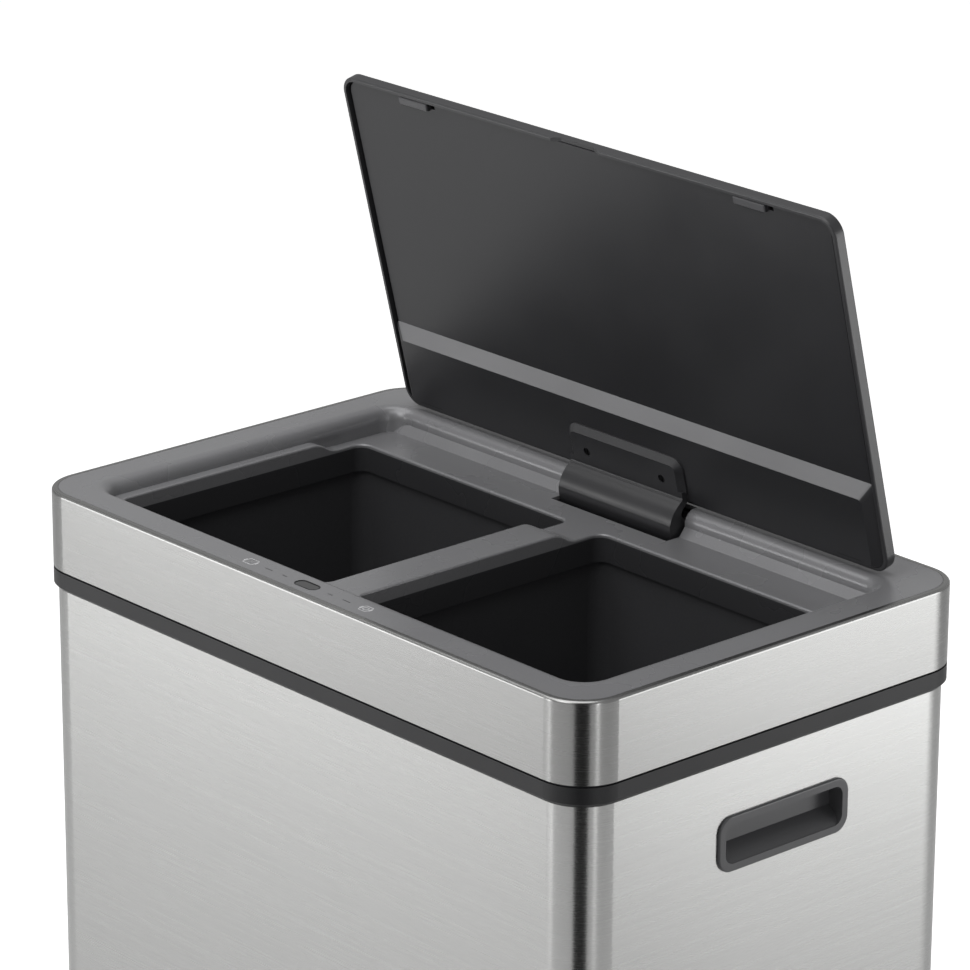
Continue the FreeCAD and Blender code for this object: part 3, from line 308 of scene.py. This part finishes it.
@dataclass(frozen=True)
class PlatedMetal:
    """Turned or stamped small metal part with a thin zinc or nickel plate: bright, slightly cloudy."""

    name: str
    colour: str
    roughness: float
    patch_mm: float = 4.0
    gloss_drift: Tuple[float, float] = (0.08, 0.12)

    def build(self) -> bpy.types.Material:
        """Makes the material: a slow noise dulls the plate in patches.

        Returns:
            The material.
        """
        material, tree = new_material(self.name)
        place = add_node(tree, "ShaderNodeTexCoord").outputs["Object"]
        cloud = add_node(tree, "ShaderNodeTexNoise", {"Vector": place},
                         {"Scale": 1 / (self.patch_mm * MM), "Detail": 4.0})
        rough = add_node(tree, "ShaderNodeMapRange", {"Value": cloud.outputs[0]},
                         {"To Min": self.roughness - self.gloss_drift[0],
                          "To Max": self.roughness + self.gloss_drift[1]})
        shader = add_node(tree, "ShaderNodeBsdfPrincipled", {"Roughness": rough.outputs[0]},
                          {"Base Color": linear(self.colour), "Metallic": 1.0})
        add_node(tree, "ShaderNodeOutputMaterial", {"Surface": shader.outputs[0]})
        return material


FINISHES: Dict[str, Any] = {
    # Brushed sheet: broad soft light on the flats, a dark upright band between two lights at a corner.
    # The ring is the same sheet as the body. It is written a shade darker only because it catches more
    # of these lamps, and the picture shows both alike.
    "outer_shell": BrushedSteel("stainless_sheet_brushed_body"),
    "hood_ring": BrushedSteel("stainless_sheet_brushed_hood", "989897", "949493"),
    "lid_top_panel": BrushedSteel("stainless_sheet_brushed_lid", grain=Grain.ALONG_X),
    # Sprayed coat with metal flakes: even grey with a faint sparkle and light edges. The flakes are
    #     # about 0.05 mm, drawn 1.3 mm. The black lower part of the openings' walls is painted shade,
    #     not seen
    #     # as such in the picture: it stands in for the dark depth of the openings and hides that these
    #     walls
    #     # are modelled deeper than there.
    "rim_frame": Moulded("abs_sprayed_metallic_grey", "868688", 0.27, grain_mm=1.3, mottling=0.05,
                         bump=0.0, specular=0.35, metallic=0.24, second=PaintedShadeBelow("3e3e40", 0.6184)),
    # Dull dark line between the two steel parts, and the same darkness where the bin meets the floor.
    "collar_band": Moulded("abs_moulded_dark_grey_band", "171719", 0.42, specular=0.35),
    "base_tray": Moulded("polypropylene_moulded_black_plinth", "1c1c1d", 0.5),
    "base_feet": Moulded("rubber_moulded_black_pads", "161616", 0.8, grain_mm=0.8, specular=0.3),
    # Grips: satin, so that the frame of the cup catches a soft line of light.
    "handle_right": Moulded("abs_moulded_charcoal_grip_right", "464648", 0.3),
    "handle_left": Moulded("abs_moulded_charcoal_grip_left", "464648", 0.3),
    # Buckets: glossy walls that mirror each other inside the dark openings.
    "bucket_right": Moulded("polypropylene_moulded_gloss_black_right", "424244", 0.13, grain_mm=2.0,
                            bump=0.02),
    "bucket_left": Moulded("polypropylene_moulded_gloss_black_left", "424244", 0.13, grain_mm=2.0,
                           bump=0.02),
    # Lid: a lighter edge round a charcoal liner. Its sloped strip reads as a pale band across it. The
    #     # strip's lighter tone is a painted highlight, in place of the light the upturned strip
    #     catches, to
    #     # reach the picture's tone.
    "lid_frame": Moulded("abs_moulded_dark_grey_lid_edge", "323234", 0.36),
    "lid_liner": Moulded("abs_moulded_charcoal_liner", "2e2e30", 0.34, specular=0.38,
                         second=PaintedHighlightFacet("6a6a6c", (0.0, -0.9752, 0.2210), 0.03)),
    "hinge_bracket": Moulded("abs_moulded_charcoal_bracket", "303032", 0.3),
    # Smoked lens: a wet-looking oval, the glossiest point of the rim.
    "sensor_window": Moulded("acrylic_moulded_smoked_lens", "1a1a1c", 0.12, bump=0.0, coat=0.4),
    # Inside: green board, black lead, sleeved cells and bare metal, each told apart at a glance.
    "control_board": Moulded("glass_epoxy_board_solder_masked", "14402a", 0.4),
    "wiring_loom": Moulded("pvc_extruded_black_jacket", "151515", 0.5),
    "battery_cells": Moulded("steel_cell_shrink_wrapped", "3a3a3e", 0.3, coat=0.3),
    "gear_motor": PlatedMetal("steel_drawn_zinc_plated_motor", "9a9a9c", 0.35),
    "gear_plate": PlatedMetal("steel_stamped_zinc_plated_plate", "b2b2b4", 0.35),
    "hinge_shaft": PlatedMetal("steel_ground_shaft", "b8b8ba", 0.22),
    "idler_axle": PlatedMetal("steel_ground_axle", "b8b8ba", 0.22),
    "bracket_screws": PlatedMetal("steel_black_oxide_screws", "2a2a2b", 0.36),
    "battery_contacts": PlatedMetal("spring_steel_nickel_plated", "c2bfb6", 0.25),
    # Switch: a glossy rocker in a duller frame, so that its outline shows on the back.
    "switch_body": Moulded("nylon_moulded_black_switch_body", "1a1a1b", 0.45),
    "switch_rocker": Moulded("nylon_moulded_black_rocker", "121213", 0.25),
}
SHARED_FINISHES: Dict[str, Any] = {
    # Bright plated heads, milky gears and bushes, and plain black covers out of sight.
    "screws": PlatedMetal("steel_zinc_plated_screws", "8e8e92", 0.3),
    "acetal": Moulded("acetal_moulded_natural", "d9d6cc", 0.4),
    "inner": Moulded("abs_moulded_black_covers", "1e1e1f", 0.5),
}
SHARED_NODES: Dict[str, Tuple[str, ...]] = {
    "screws": ("base_screws", "sensor_cover_screws", "cover_screws", "plate_screws", "motor_screws",
               "shaft_clips"),
    "acetal": ("idler_gear", "motor_pinion", "sector_gear", "hinge_bushes"),
    "inner": ("sensor_cover", "drive_cover", "battery_box", "battery_door"),
}
# Ink stands out pale on the grey rim; trim is the dull black of gaps and shadows.
PAINTED = Moulded("ink_pad_printed_pale_grey", "c9c9cb", 0.5, bump=0.03)
BLACKED = Moulded("abs_moulded_matt_black_trim", "18181a", 0.5)


def dress_nodes() -> None:
    """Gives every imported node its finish."""
    for node, finish in FINISHES.items():
        set_finish(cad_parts[node], finish.build())
    for group, names in SHARED_NODES.items():
        material = SHARED_FINISHES[group].build()
        for node in names:
            set_finish(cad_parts[node], material)


def set_finish(obj: bpy.types.Object, material: bpy.types.Material) -> None:
    """Puts one material into every slot of an object.

    Args:
        obj: the object.
        material: the material.
    """
    if not obj.material_slots:
        obj.data.materials.append(material)
    for slot in obj.material_slots:
        slot.material = material


# ---- mesh code -------------------------------------------------------------------------------------
@dataclass(frozen=True)
class Plane:
    """Flat place on the object: a centre and two unit directions, whose cross product points out."""

    centre: Point
    across: Point
    up: Point

    def lift(self, flat: Array, off: float) -> Array:
        """Turns flat points into space: centre + x * across + y * up + off * outwards.

        Args:
            flat: points on the plane, one row each, in metres.
            off: height above the plane, in metres.

        Returns:
            The points in space, one row each.
        """
        u, v = np.array(self.across), np.array(self.up)
        return np.array(self.centre) + flat[:, :1] * u + flat[:, 1:2] * v + off * np.cross(u, v)


def rounded_loop(width: float, length: float, radius: float, x: float = 0.0, y: float = 0.0,
                 steps: int = 6) -> Array:
    """Outline of a rounded rectangle, anticlockwise: corner centre + radius * (cos t, sin t).

    Args:
        width: size along x, in metres.
        length: size along y, in metres.
        radius: corner radius, in metres.
        x: centre along x.
        y: centre along y.
        steps: points on each corner.

    Returns:
        The outline's points, one row each.
    """
    turn = np.linspace(0, np.pi / 2, steps)
    rows = []
    for quarter, (sx, sy) in enumerate(((1, 1), (-1, 1), (-1, -1), (1, -1))):
        angle = turn + quarter * np.pi / 2
        cx, cy = sx * (width / 2 - radius), sy * (length / 2 - radius)
        rows.append(np.stack([x + cx + radius * np.cos(angle), y + cy + radius * np.sin(angle)],
                             axis=1))
    return np.concatenate(rows)


def sweep(plane: Plane, loops: List[Array], heights: List[float]) -> Mesh:
    """Skins a stack of loops of equal length and closes its first and last loop with a face.

    Args:
        plane: where the loops lie.
        loops: flat outlines, anticlockwise, all with the same number of points.
        heights: height of each loop above the plane, rising.

    Returns:
        Points and faces of the closed solid.
    """
    count = len(loops[0])
    points = np.concatenate([plane.lift(loop, off) for loop, off in zip(loops, heights)])
    faces = [[k * count + i, k * count + (i + 1) % count, (k + 1) * count + (i + 1) % count,
              (k + 1) * count + i] for k in range(len(loops) - 1) for i in range(count)]
    faces.append(list(range(count))[::-1])
    faces.append([(len(loops) - 1) * count + i for i in range(count)])
    return points, faces


def collar(plane: Plane, outer: Array, inner: Array, low: float, high: float) -> Mesh:
    """Closed band between two outlines: the four corners of its section go once round the loop.

    Args:
        plane: where the band lies.
        outer: outer outline, anticlockwise.
        inner: inner outline with as many points.
        low: underside above the plane.
        high: top above the plane.

    Returns:
        Points and faces of the closed band.
    """
    count = len(outer)
    section = ((outer, low), (outer, high), (inner, high), (inner, low))
    points = np.concatenate([plane.lift(loop, off) for loop, off in section])
    faces = [[k * count + i, k * count + (i + 1) % count, (k + 1) % 4 * count + (i + 1) % count,
              (k + 1) % 4 * count + i] for k in range(4) for i in range(count)]
    return points, faces


def make_piece(name: str, parts: List[Mesh], finish: Any, body: str) -> None:
    """Joins closed parts into one object at the origin that rides on a body.

    Args:
        name: the object's name.
        parts: points and faces of each part.
        finish: the finish to build for it.
        body: the body that carries it.
    """
    starts = np.cumsum([0] + [len(points) for points, _ in parts[:-1]])
    points = np.concatenate([points for points, _ in parts])
    faces = [[i + int(start) for i in face]
             for start, (_, group) in zip(starts, parts) for face in group]
    mesh = bpy.data.meshes.new(name)
    mesh.from_pydata(points.tolist(), [], faces)
    mesh.materials.append(finish.build())
    piece = bpy.data.objects.new(name, mesh)
    bpy.context.scene.collection.objects.link(piece)
    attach(piece, body)
    log.info("%s: %d faces on %s", name, len(faces), body)


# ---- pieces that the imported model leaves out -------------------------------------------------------
@dataclass
class ControlPanel:
    """Printed marks on the front of the rim and the bead round the sensor's lens."""

    rim_z: float = 0.640
    lens_y: float = -0.169
    lens_w: float = 0.021
    lens_h: float = 0.009
    mark_x: float = 0.062
    mark_y: float = -0.1685
    mark_w: float = 0.0105
    mark_h: float = 0.0088
    line: float = 0.0006
    ink: float = 0.00008
    sunk: float = 0.00005
    box_r: float = 0.0016
    ear_w: float = 0.0014
    dashes: Tuple[Tuple[float, float], ...] = ((0.022, 0.027), (0.038, 0.046))
    bead_gap: float = 0.0001
    bead_out: float = 0.0008
    bead_z: Tuple[float, float] = (-0.0002, 0.00018)

    def plane(self, x: float, y: float) -> Plane:
        """Place on the flat top of the rim.

        Args:
            x: centre along X.
            y: centre along Y.

        Returns:
            The place.
        """
        return Plane((x, y, self.rim_z), (1, 0, 0), (0, 1, 0))

    def box(self, x: float, wide: float, tall: float = 1.0, shift: float = 0.0) -> Mesh:
        """Outline of a rounded box in ink.

        Args:
            x: centre of the mark along X.
            wide: the box's share of the mark's width.
            tall: its share of the mark's height.
            shift: move along X inside the mark, as a share of the mark's width.

        Returns:
            Points and faces.
        """
        w, h, dx = wide * self.mark_w, tall * self.mark_h, shift * self.mark_w
        outer = rounded_loop(w, h, self.box_r, dx)
        inner = rounded_loop(w - 2 * self.line, h - 2 * self.line, self.box_r - self.line, dx)
        return collar(self.plane(x, self.mark_y), outer, inner, -self.sunk, self.ink)

    def ears(self, x: float, reach: float) -> List[Mesh]:
        """Short upright stroke at each side of a mark.

        Args:
            x: centre of the mark along X.
            reach: distance of each stroke from the centre, as a share of the mark's width.

        Returns:
            Points and faces of both strokes.
        """
        ear = rounded_loop(self.ear_w, self.mark_h * 0.42, self.line)
        return [sweep(self.plane(x + side * reach * self.mark_w, self.mark_y), [ear, ear],
                      [-self.sunk, self.ink]) for side in (-1, 1)]

    def dash(self, x0: float, x1: float) -> Mesh:
        """Straight dash between two positions along X.

        Args:
            x0: start.
            x1: end.

        Returns:
            Points and faces.
        """
        loop = rounded_loop(x1 - x0, self.line, self.line * 0.45)
        return sweep(self.plane((x0 + x1) / 2, self.lens_y), [loop, loop], [-self.sunk, self.ink])

    def bead(self) -> Mesh:
        """Thin oval bead round the lens.

        Returns:
            Points and faces.
        """
        outer = rounded_loop(self.lens_w + 2 * self.bead_out, self.lens_h + 2 * self.bead_out,
                             self.lens_h / 2 + self.bead_out - self.bead_gap, steps=12)
        inner = rounded_loop(self.lens_w + 2 * self.bead_gap, self.lens_h + 2 * self.bead_gap,
                             self.lens_h / 2, steps=12)
        return collar(self.plane(0.0, self.lens_y), outer, inner, *self.bead_z)

    def build(self) -> None:
        """Makes the marks, the dashes and the lens bead."""
        left, right = -self.mark_x, self.mark_x
        marks = [self.box(left, 0.54, shift=-0.23), self.box(left, 0.54, shift=0.23),
                 self.box(right, 0.80), self.box(right, 0.44, 0.52)]
        marks += self.ears(left, 0.55) + self.ears(right, 0.46)
        make_piece("printed_marks", marks, PAINTED, "hood")
        spans = [(-far, -near) for near, far in self.dashes] + list(self.dashes)
        make_piece("printed_dashes", [self.dash(*span) for span in spans], BLACKED, "hood")
        make_piece("lens_bead", [self.bead()], BLACKED, "hood")


@dataclass
class BackSeam:
    """Lap joint of the wrap, down the middle of the back, with its row of spot welds."""

    face_y: float = 0.1815
    low: float = 0.0215
    high: float = 0.5635
    width: float = 0.011
    thick: float = 0.0006
    bevel: float = 0.0004
    sunk: float = 0.0002
    welds: int = 14
    weld_inset: float = 0.02
    weld_radii: Tuple[float, ...] = (0.0021, 0.0019, 0.0012)
    weld_rise: Tuple[float, ...] = (-0.0001, 0.00008, 0.00014)

    def build(self) -> None:
        """Makes the bevelled strip and its round welds, whose radius falls as their height rises."""
        place = Plane((0.0, self.face_y, (self.low + self.high) / 2), (-1, 0, 0), (0, 0, 1))
        tall = self.high - self.low
        wide = rounded_loop(self.width, tall, 0.0008)
        slim = rounded_loop(self.width - 2 * self.bevel, tall - 2 * self.bevel, 0.0006)
        parts = [sweep(place, [wide, wide, slim], [-self.sunk, self.thick * 0.5, self.thick])]
        end = tall / 2 - self.weld_inset
        for z in np.linspace(-end, end, self.welds):
            rings = [rounded_loop(2 * r, 2 * r, r * ROUND, 0.0, float(z)) for r in self.weld_radii]
            parts.append(sweep(place, rings, [self.thick + rise for rise in self.weld_rise]))
        make_piece("back_seam", parts, BrushedSteel("stainless_sheet_brushed_seam"), "body")


@dataclass
class PadTreads:
    """Three raised rings under each foot pad."""

    pads: Tuple[float, float] = (0.250, 0.140)
    sole_z: float = 0.0004
    radii: Tuple[float, ...] = (0.004, 0.0075, 0.011)
    width: float = 0.0012
    height: float = 0.0003

    def ring(self, place: Plane, radius: float) -> Mesh:
        """One raised ring.

        Args:
            place: the underside of its pad.
            radius: outer radius of the ring.

        Returns:
            Points and faces.
        """
        outer, inner = (rounded_loop(2 * r, 2 * r, r * ROUND, steps=10)
                        for r in (radius, radius - self.width))
        return collar(place, outer, inner, 0.0, self.height)

    def build(self) -> None:
        """Makes the rings just inside each pad's underside."""
        places = [Plane((sx * self.pads[0], sy * self.pads[1], self.sole_z), (1, 0, 0), (0, -1, 0))
                  for sx in (-1, 1) for sy in (-1, 1)]
        rings = [self.ring(place, radius) for place in places for radius in self.radii]
        make_piece("pad_treads", rings, FINISHES["base_feet"], "body")


@dataclass
class LidTrim:
    """Catches of the liner by the front lip, and its fine shut lines beside the hinge edge."""

    pivot: Tuple[float, float] = (0.144, 0.6287)
    edge_y: float = 0.1315
    lip_z: float = 0.6318
    open_deg: float = 76.2
    clip_x: float = 0.1745
    clip_s: float = 0.2710
    clip_w: float = 0.0305
    clip_l: float = 0.0056
    clip_t: float = 0.0014
    clip_h: float = -0.0006
    bevel: float = 0.0006
    sunk: float = 0.0010
    line_size: Tuple[float, float] = (0.024, 0.0006)
    line_at: Point = (0.222, 0.0075, 0.0035)
    line_t: float = 0.0001

    def plane(self, x: float, s: float, h: float) -> Plane:
        """Place on the inner face of the opened lid.

        Args:
            x: position along X.
            s: distance from the hinge edge of the lid.
            h: height off the lip, towards the bin.

        Returns:
            The place, turned about the hinge axis by the opening angle.
        """
        turn = math.radians(-self.open_deg)
        y, z = self.edge_y - s - self.pivot[0], self.lip_z - h - self.pivot[1]
        c, n = math.cos(turn), math.sin(turn)
        centre = (x, self.pivot[0] + y * c - z * n, self.pivot[1] + y * n + z * c)
        return Plane(centre, (1.0, 0.0, 0.0), (0.0, -c, -n))

    def clip(self, x: float) -> Mesh:
        """One catch by the front lip: a low block whose top is drawn in by its bevel.

        Args:
            x: its centre along X.

        Returns:
            Points and faces.
        """
        foot = rounded_loop(self.clip_w, self.clip_l, 0.0006)
        top = rounded_loop(self.clip_w - 2 * self.bevel, self.clip_l - 2 * self.bevel, 0.0004)
        return sweep(self.plane(x, self.clip_s, self.clip_h), [foot, foot, top],
                     [-self.sunk, self.clip_t - self.bevel, self.clip_t])

    def build(self) -> None:
        """Makes the two catches and the fine shut lines beside the hinge edge."""
        make_piece("liner_clips", [self.clip(-self.clip_x), self.clip(self.clip_x)],
                   Moulded("abs_moulded_charcoal_clips", "4a4a4c", 0.3), "lid")
        line = rounded_loop(*self.line_size, 0.0002)
        x, along, off = self.line_at
        lines = [sweep(self.plane(side * x, along, off), [line, line], [-self.line_t, self.line_t])
                 for side in (-1, 1)]
        make_piece("liner_lines", lines, BLACKED, "lid")


# ---- studio ----------------------------------------------------------------------------------------
@dataclass(frozen=True)
class Softbox:
    """Rectangular lamp with a diffuser: where it hangs, its size, what it faces and its power."""

    name: str
    place: Point
    size: Tuple[float, float]
    power: float
    aim: Point = (0.0, 0.0, 0.5)

    def build(self) -> None:
        """Adds the lamp; the camera doesn't see it, but every surface does."""
        data = bpy.data.lights.new(self.name, "AREA")
        data.shape = "RECTANGLE"
        data.size, data.size_y = self.size
        data.energy = self.power
        lamp = bpy.data.objects.new(self.name, data)
        lamp.location = self.place
        turn = Vector(self.aim) - Vector(self.place)
        lamp.rotation_euler = turn.to_track_quat("-Z", "Y").to_euler()
        lamp.visible_camera = False
        bpy.context.scene.collection.objects.link(lamp)


@dataclass(frozen=True)
class Flag:
    """Black card beside a corner: steel mirrors it as the dark upright band between two highlights."""

    name: str
    corner: Tuple[float, float]
    start_deg: float
    end_deg: float
    near: float = 0.05
    far: float = 0.95
    tall: float = 1.7
    lift: float = 0.004
    steps: int = 9

    def build(self) -> None:
        """Lays a wedge of card just over the floor, from corner + near * (sin a, -cos a) out to far.

        Its far edge stands up to the card's height. Only reflections show it.
        """
        angle = np.radians(np.linspace(self.start_deg, self.end_deg, self.steps))
        out = np.stack([np.sin(angle), -np.cos(angle)], axis=1)
        rows = [(self.near, self.lift), (self.far, self.lift), (self.far, self.tall)]
        points = np.concatenate([np.column_stack([self.corner + out * r, np.full(len(out), z)])
                                 for r, z in rows])
        count = len(out)
        faces = [[k * count + i, k * count + i + 1, (k + 1) * count + i + 1, (k + 1) * count + i]
                 for k in range(2) for i in range(count - 1)]
        mesh = bpy.data.meshes.new(self.name)
        mesh.from_pydata(points.tolist(), [], faces)
        material, tree = new_material("card_matt_black")
        shader = add_node(tree, "ShaderNodeBsdfDiffuse", values={"Color": (0.03, 0.03, 0.03, 1)})
        add_node(tree, "ShaderNodeOutputMaterial", {"Surface": shader.outputs[0]})
        mesh.materials.append(material)
        card = bpy.data.objects.new(self.name, mesh)
        bpy.context.scene.collection.objects.link(card)
        card.visible_camera = False
        card.visible_diffuse = False
        card.visible_shadow = False


SOFTBOXES = (
    Softbox("softbox_left", (-1.75, -1.85, 0.55), (0.9, 1.1), 12),
    Softbox("strip_front", (-0.80, -2.20, 0.60), (0.22, 1.2), 6.0),
    Softbox("strip_right", (2.25, -0.50, 0.60), (0.14, 1.2), 3.2),
    Softbox("softbox_back_right", (1.55, 1.35, 0.50), (0.8, 1.0), 9),
    Softbox("softbox_top", (-0.30, -0.60, 3.00), (2.8, 2.8), 48),
    Softbox("softbox_front_high", (0.20, -2.50, 2.60), (1.6, 1.6), 18),
)
FLAGS = (
    Flag("flag_front_right", (0.260, -0.150), 30.0, 63.0),
    Flag("flag_back_left", (-0.260, 0.150), 207.0, 240.0, tall=0.45),
)


@dataclass
class Studio:
    """Pale floor, even surroundings, soft lamps and the camera of the picture."""

    eye: Point = (2.48246, -2.22314, 1.84087)
    azimuth: float = 48.213
    elevation: float = 19.291
    roll: float = 0.245
    lens: float = 184.39
    ambient: float = 0.28
    mirrored_white: float = 0.45
    seen_lift: float = 0.72
    mirrored_lift: float = 0.10
    floor_tone: float = 0.82
    floor_radius: float = 12.0
    floor_steps: int = 96
    sensor: float = 36.0
    far_clip: float = 50.0

    def camera(self) -> None:
        """Places the camera: back = (sin a cos e, -cos a cos e, sin e), then a small roll."""
        a, e, r = (math.radians(v) for v in (self.azimuth, self.elevation, self.roll))
        back = Vector((math.sin(a) * math.cos(e), -math.cos(a) * math.cos(e), math.sin(e)))
        right = Vector((math.cos(a), math.sin(a), 0.0))
        up = back.cross(right)
        turned_right = right * math.cos(r) + up * math.sin(r)
        turned_up = up * math.cos(r) - right * math.sin(r)
        data = bpy.data.cameras.new("camera")
        data.sensor_width = self.sensor
        data.lens = self.lens
        data.clip_end = self.far_clip
        camera = bpy.data.objects.new("camera", data)
        basis = Matrix((turned_right, turned_up, back)).transposed().to_4x4()
        camera.matrix_world = Matrix.Translation(self.eye) @ basis
        bpy.context.scene.collection.objects.link(camera)
        bpy.context.scene.camera = camera

    def by_ray(self, tree: bpy.types.NodeTree, seen: float, mirrored: float, other: float) -> Any:
        """Strength that depends on the kind of ray that arrives.

        Args:
            tree: the node tree.
            seen: value for camera and transmission rays.
            mirrored: value for glossy rays.
            other: value for all other rays.

        Returns:
            The output socket.
        """
        paths = add_node(tree, "ShaderNodeLightPath")
        direct = add_node(tree, "ShaderNodeMath",
                          {0: paths.outputs["Is Camera Ray"], 1: paths.outputs["Is Transmission Ray"]},
                          operation="MAXIMUM")
        first = add_node(tree, "ShaderNodeMapRange", {"Value": paths.outputs["Is Glossy Ray"]},
                         {"To Min": other, "To Max": mirrored})
        last = add_node(tree, "ShaderNodeMapRange",
                        {"Value": direct.outputs[0], "To Min": first.outputs[0]}, {"To Max": seen})
        return last.outputs[0]

    def floor(self) -> None:
        """Lays a wide pale disc: points radius * (cos a, sin a).

        Direct views of it get a little more light, so that it reads as white.
        """
        angle = np.linspace(0, 2 * np.pi, self.floor_steps + 1)[:-1]
        rim = self.floor_radius * np.stack([np.cos(angle), np.sin(angle), np.zeros_like(angle)], axis=1)
        mesh = bpy.data.meshes.new("floor")
        mesh.from_pydata(rim.tolist(), [], [list(range(len(angle)))])
        floor = bpy.data.objects.new("floor", mesh)
        bpy.context.scene.collection.objects.link(floor)
        material, tree = new_material("painted_board_floor")
        lift = self.by_ray(tree, self.seen_lift, self.mirrored_lift, 0.0)
        tone = (self.floor_tone, self.floor_tone, self.floor_tone, 1)
        diffuse = add_node(tree, "ShaderNodeBsdfDiffuse", values={"Color": tone})
        glow = add_node(tree, "ShaderNodeEmission", {"Strength": lift})
        both = add_node(tree, "ShaderNodeAddShader", {0: diffuse.outputs[0], 1: glow.outputs[0]})
        add_node(tree, "ShaderNodeOutputMaterial", {"Surface": both.outputs[0]})
        mesh.materials.append(material)

    def world(self) -> None:
        """Surrounds the object with white where it is seen, and with dimmer white everywhere else."""
        world = bpy.data.worlds.new("studio")
        bpy.context.scene.world = world
        world.use_nodes = True
        tree = world.node_tree
        tree.nodes.clear()
        strength = self.by_ray(tree, 1.0, self.mirrored_white, self.ambient)
        back = add_node(tree, "ShaderNodeBackground", {"Strength": strength}, {"Color": (1, 1, 1, 1)})
        add_node(tree, "ShaderNodeOutputWorld", {"Surface": back.outputs[0]})

    def build(self) -> None:
        """Sets up the whole studio."""
        bpy.context.scene.view_settings.view_transform = "Standard"
        self.world()
        self.floor()
        for part in SOFTBOXES + FLAGS:
            part.build()
        self.camera()


def main() -> None:
    """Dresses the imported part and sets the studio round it."""
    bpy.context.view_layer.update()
    dress_nodes()
    for piece in (ControlPanel(), BackSeam(), PadTreads(), LidTrim()):
        piece.build()
    Studio().build()


if __name__ == "__main__":
    main()
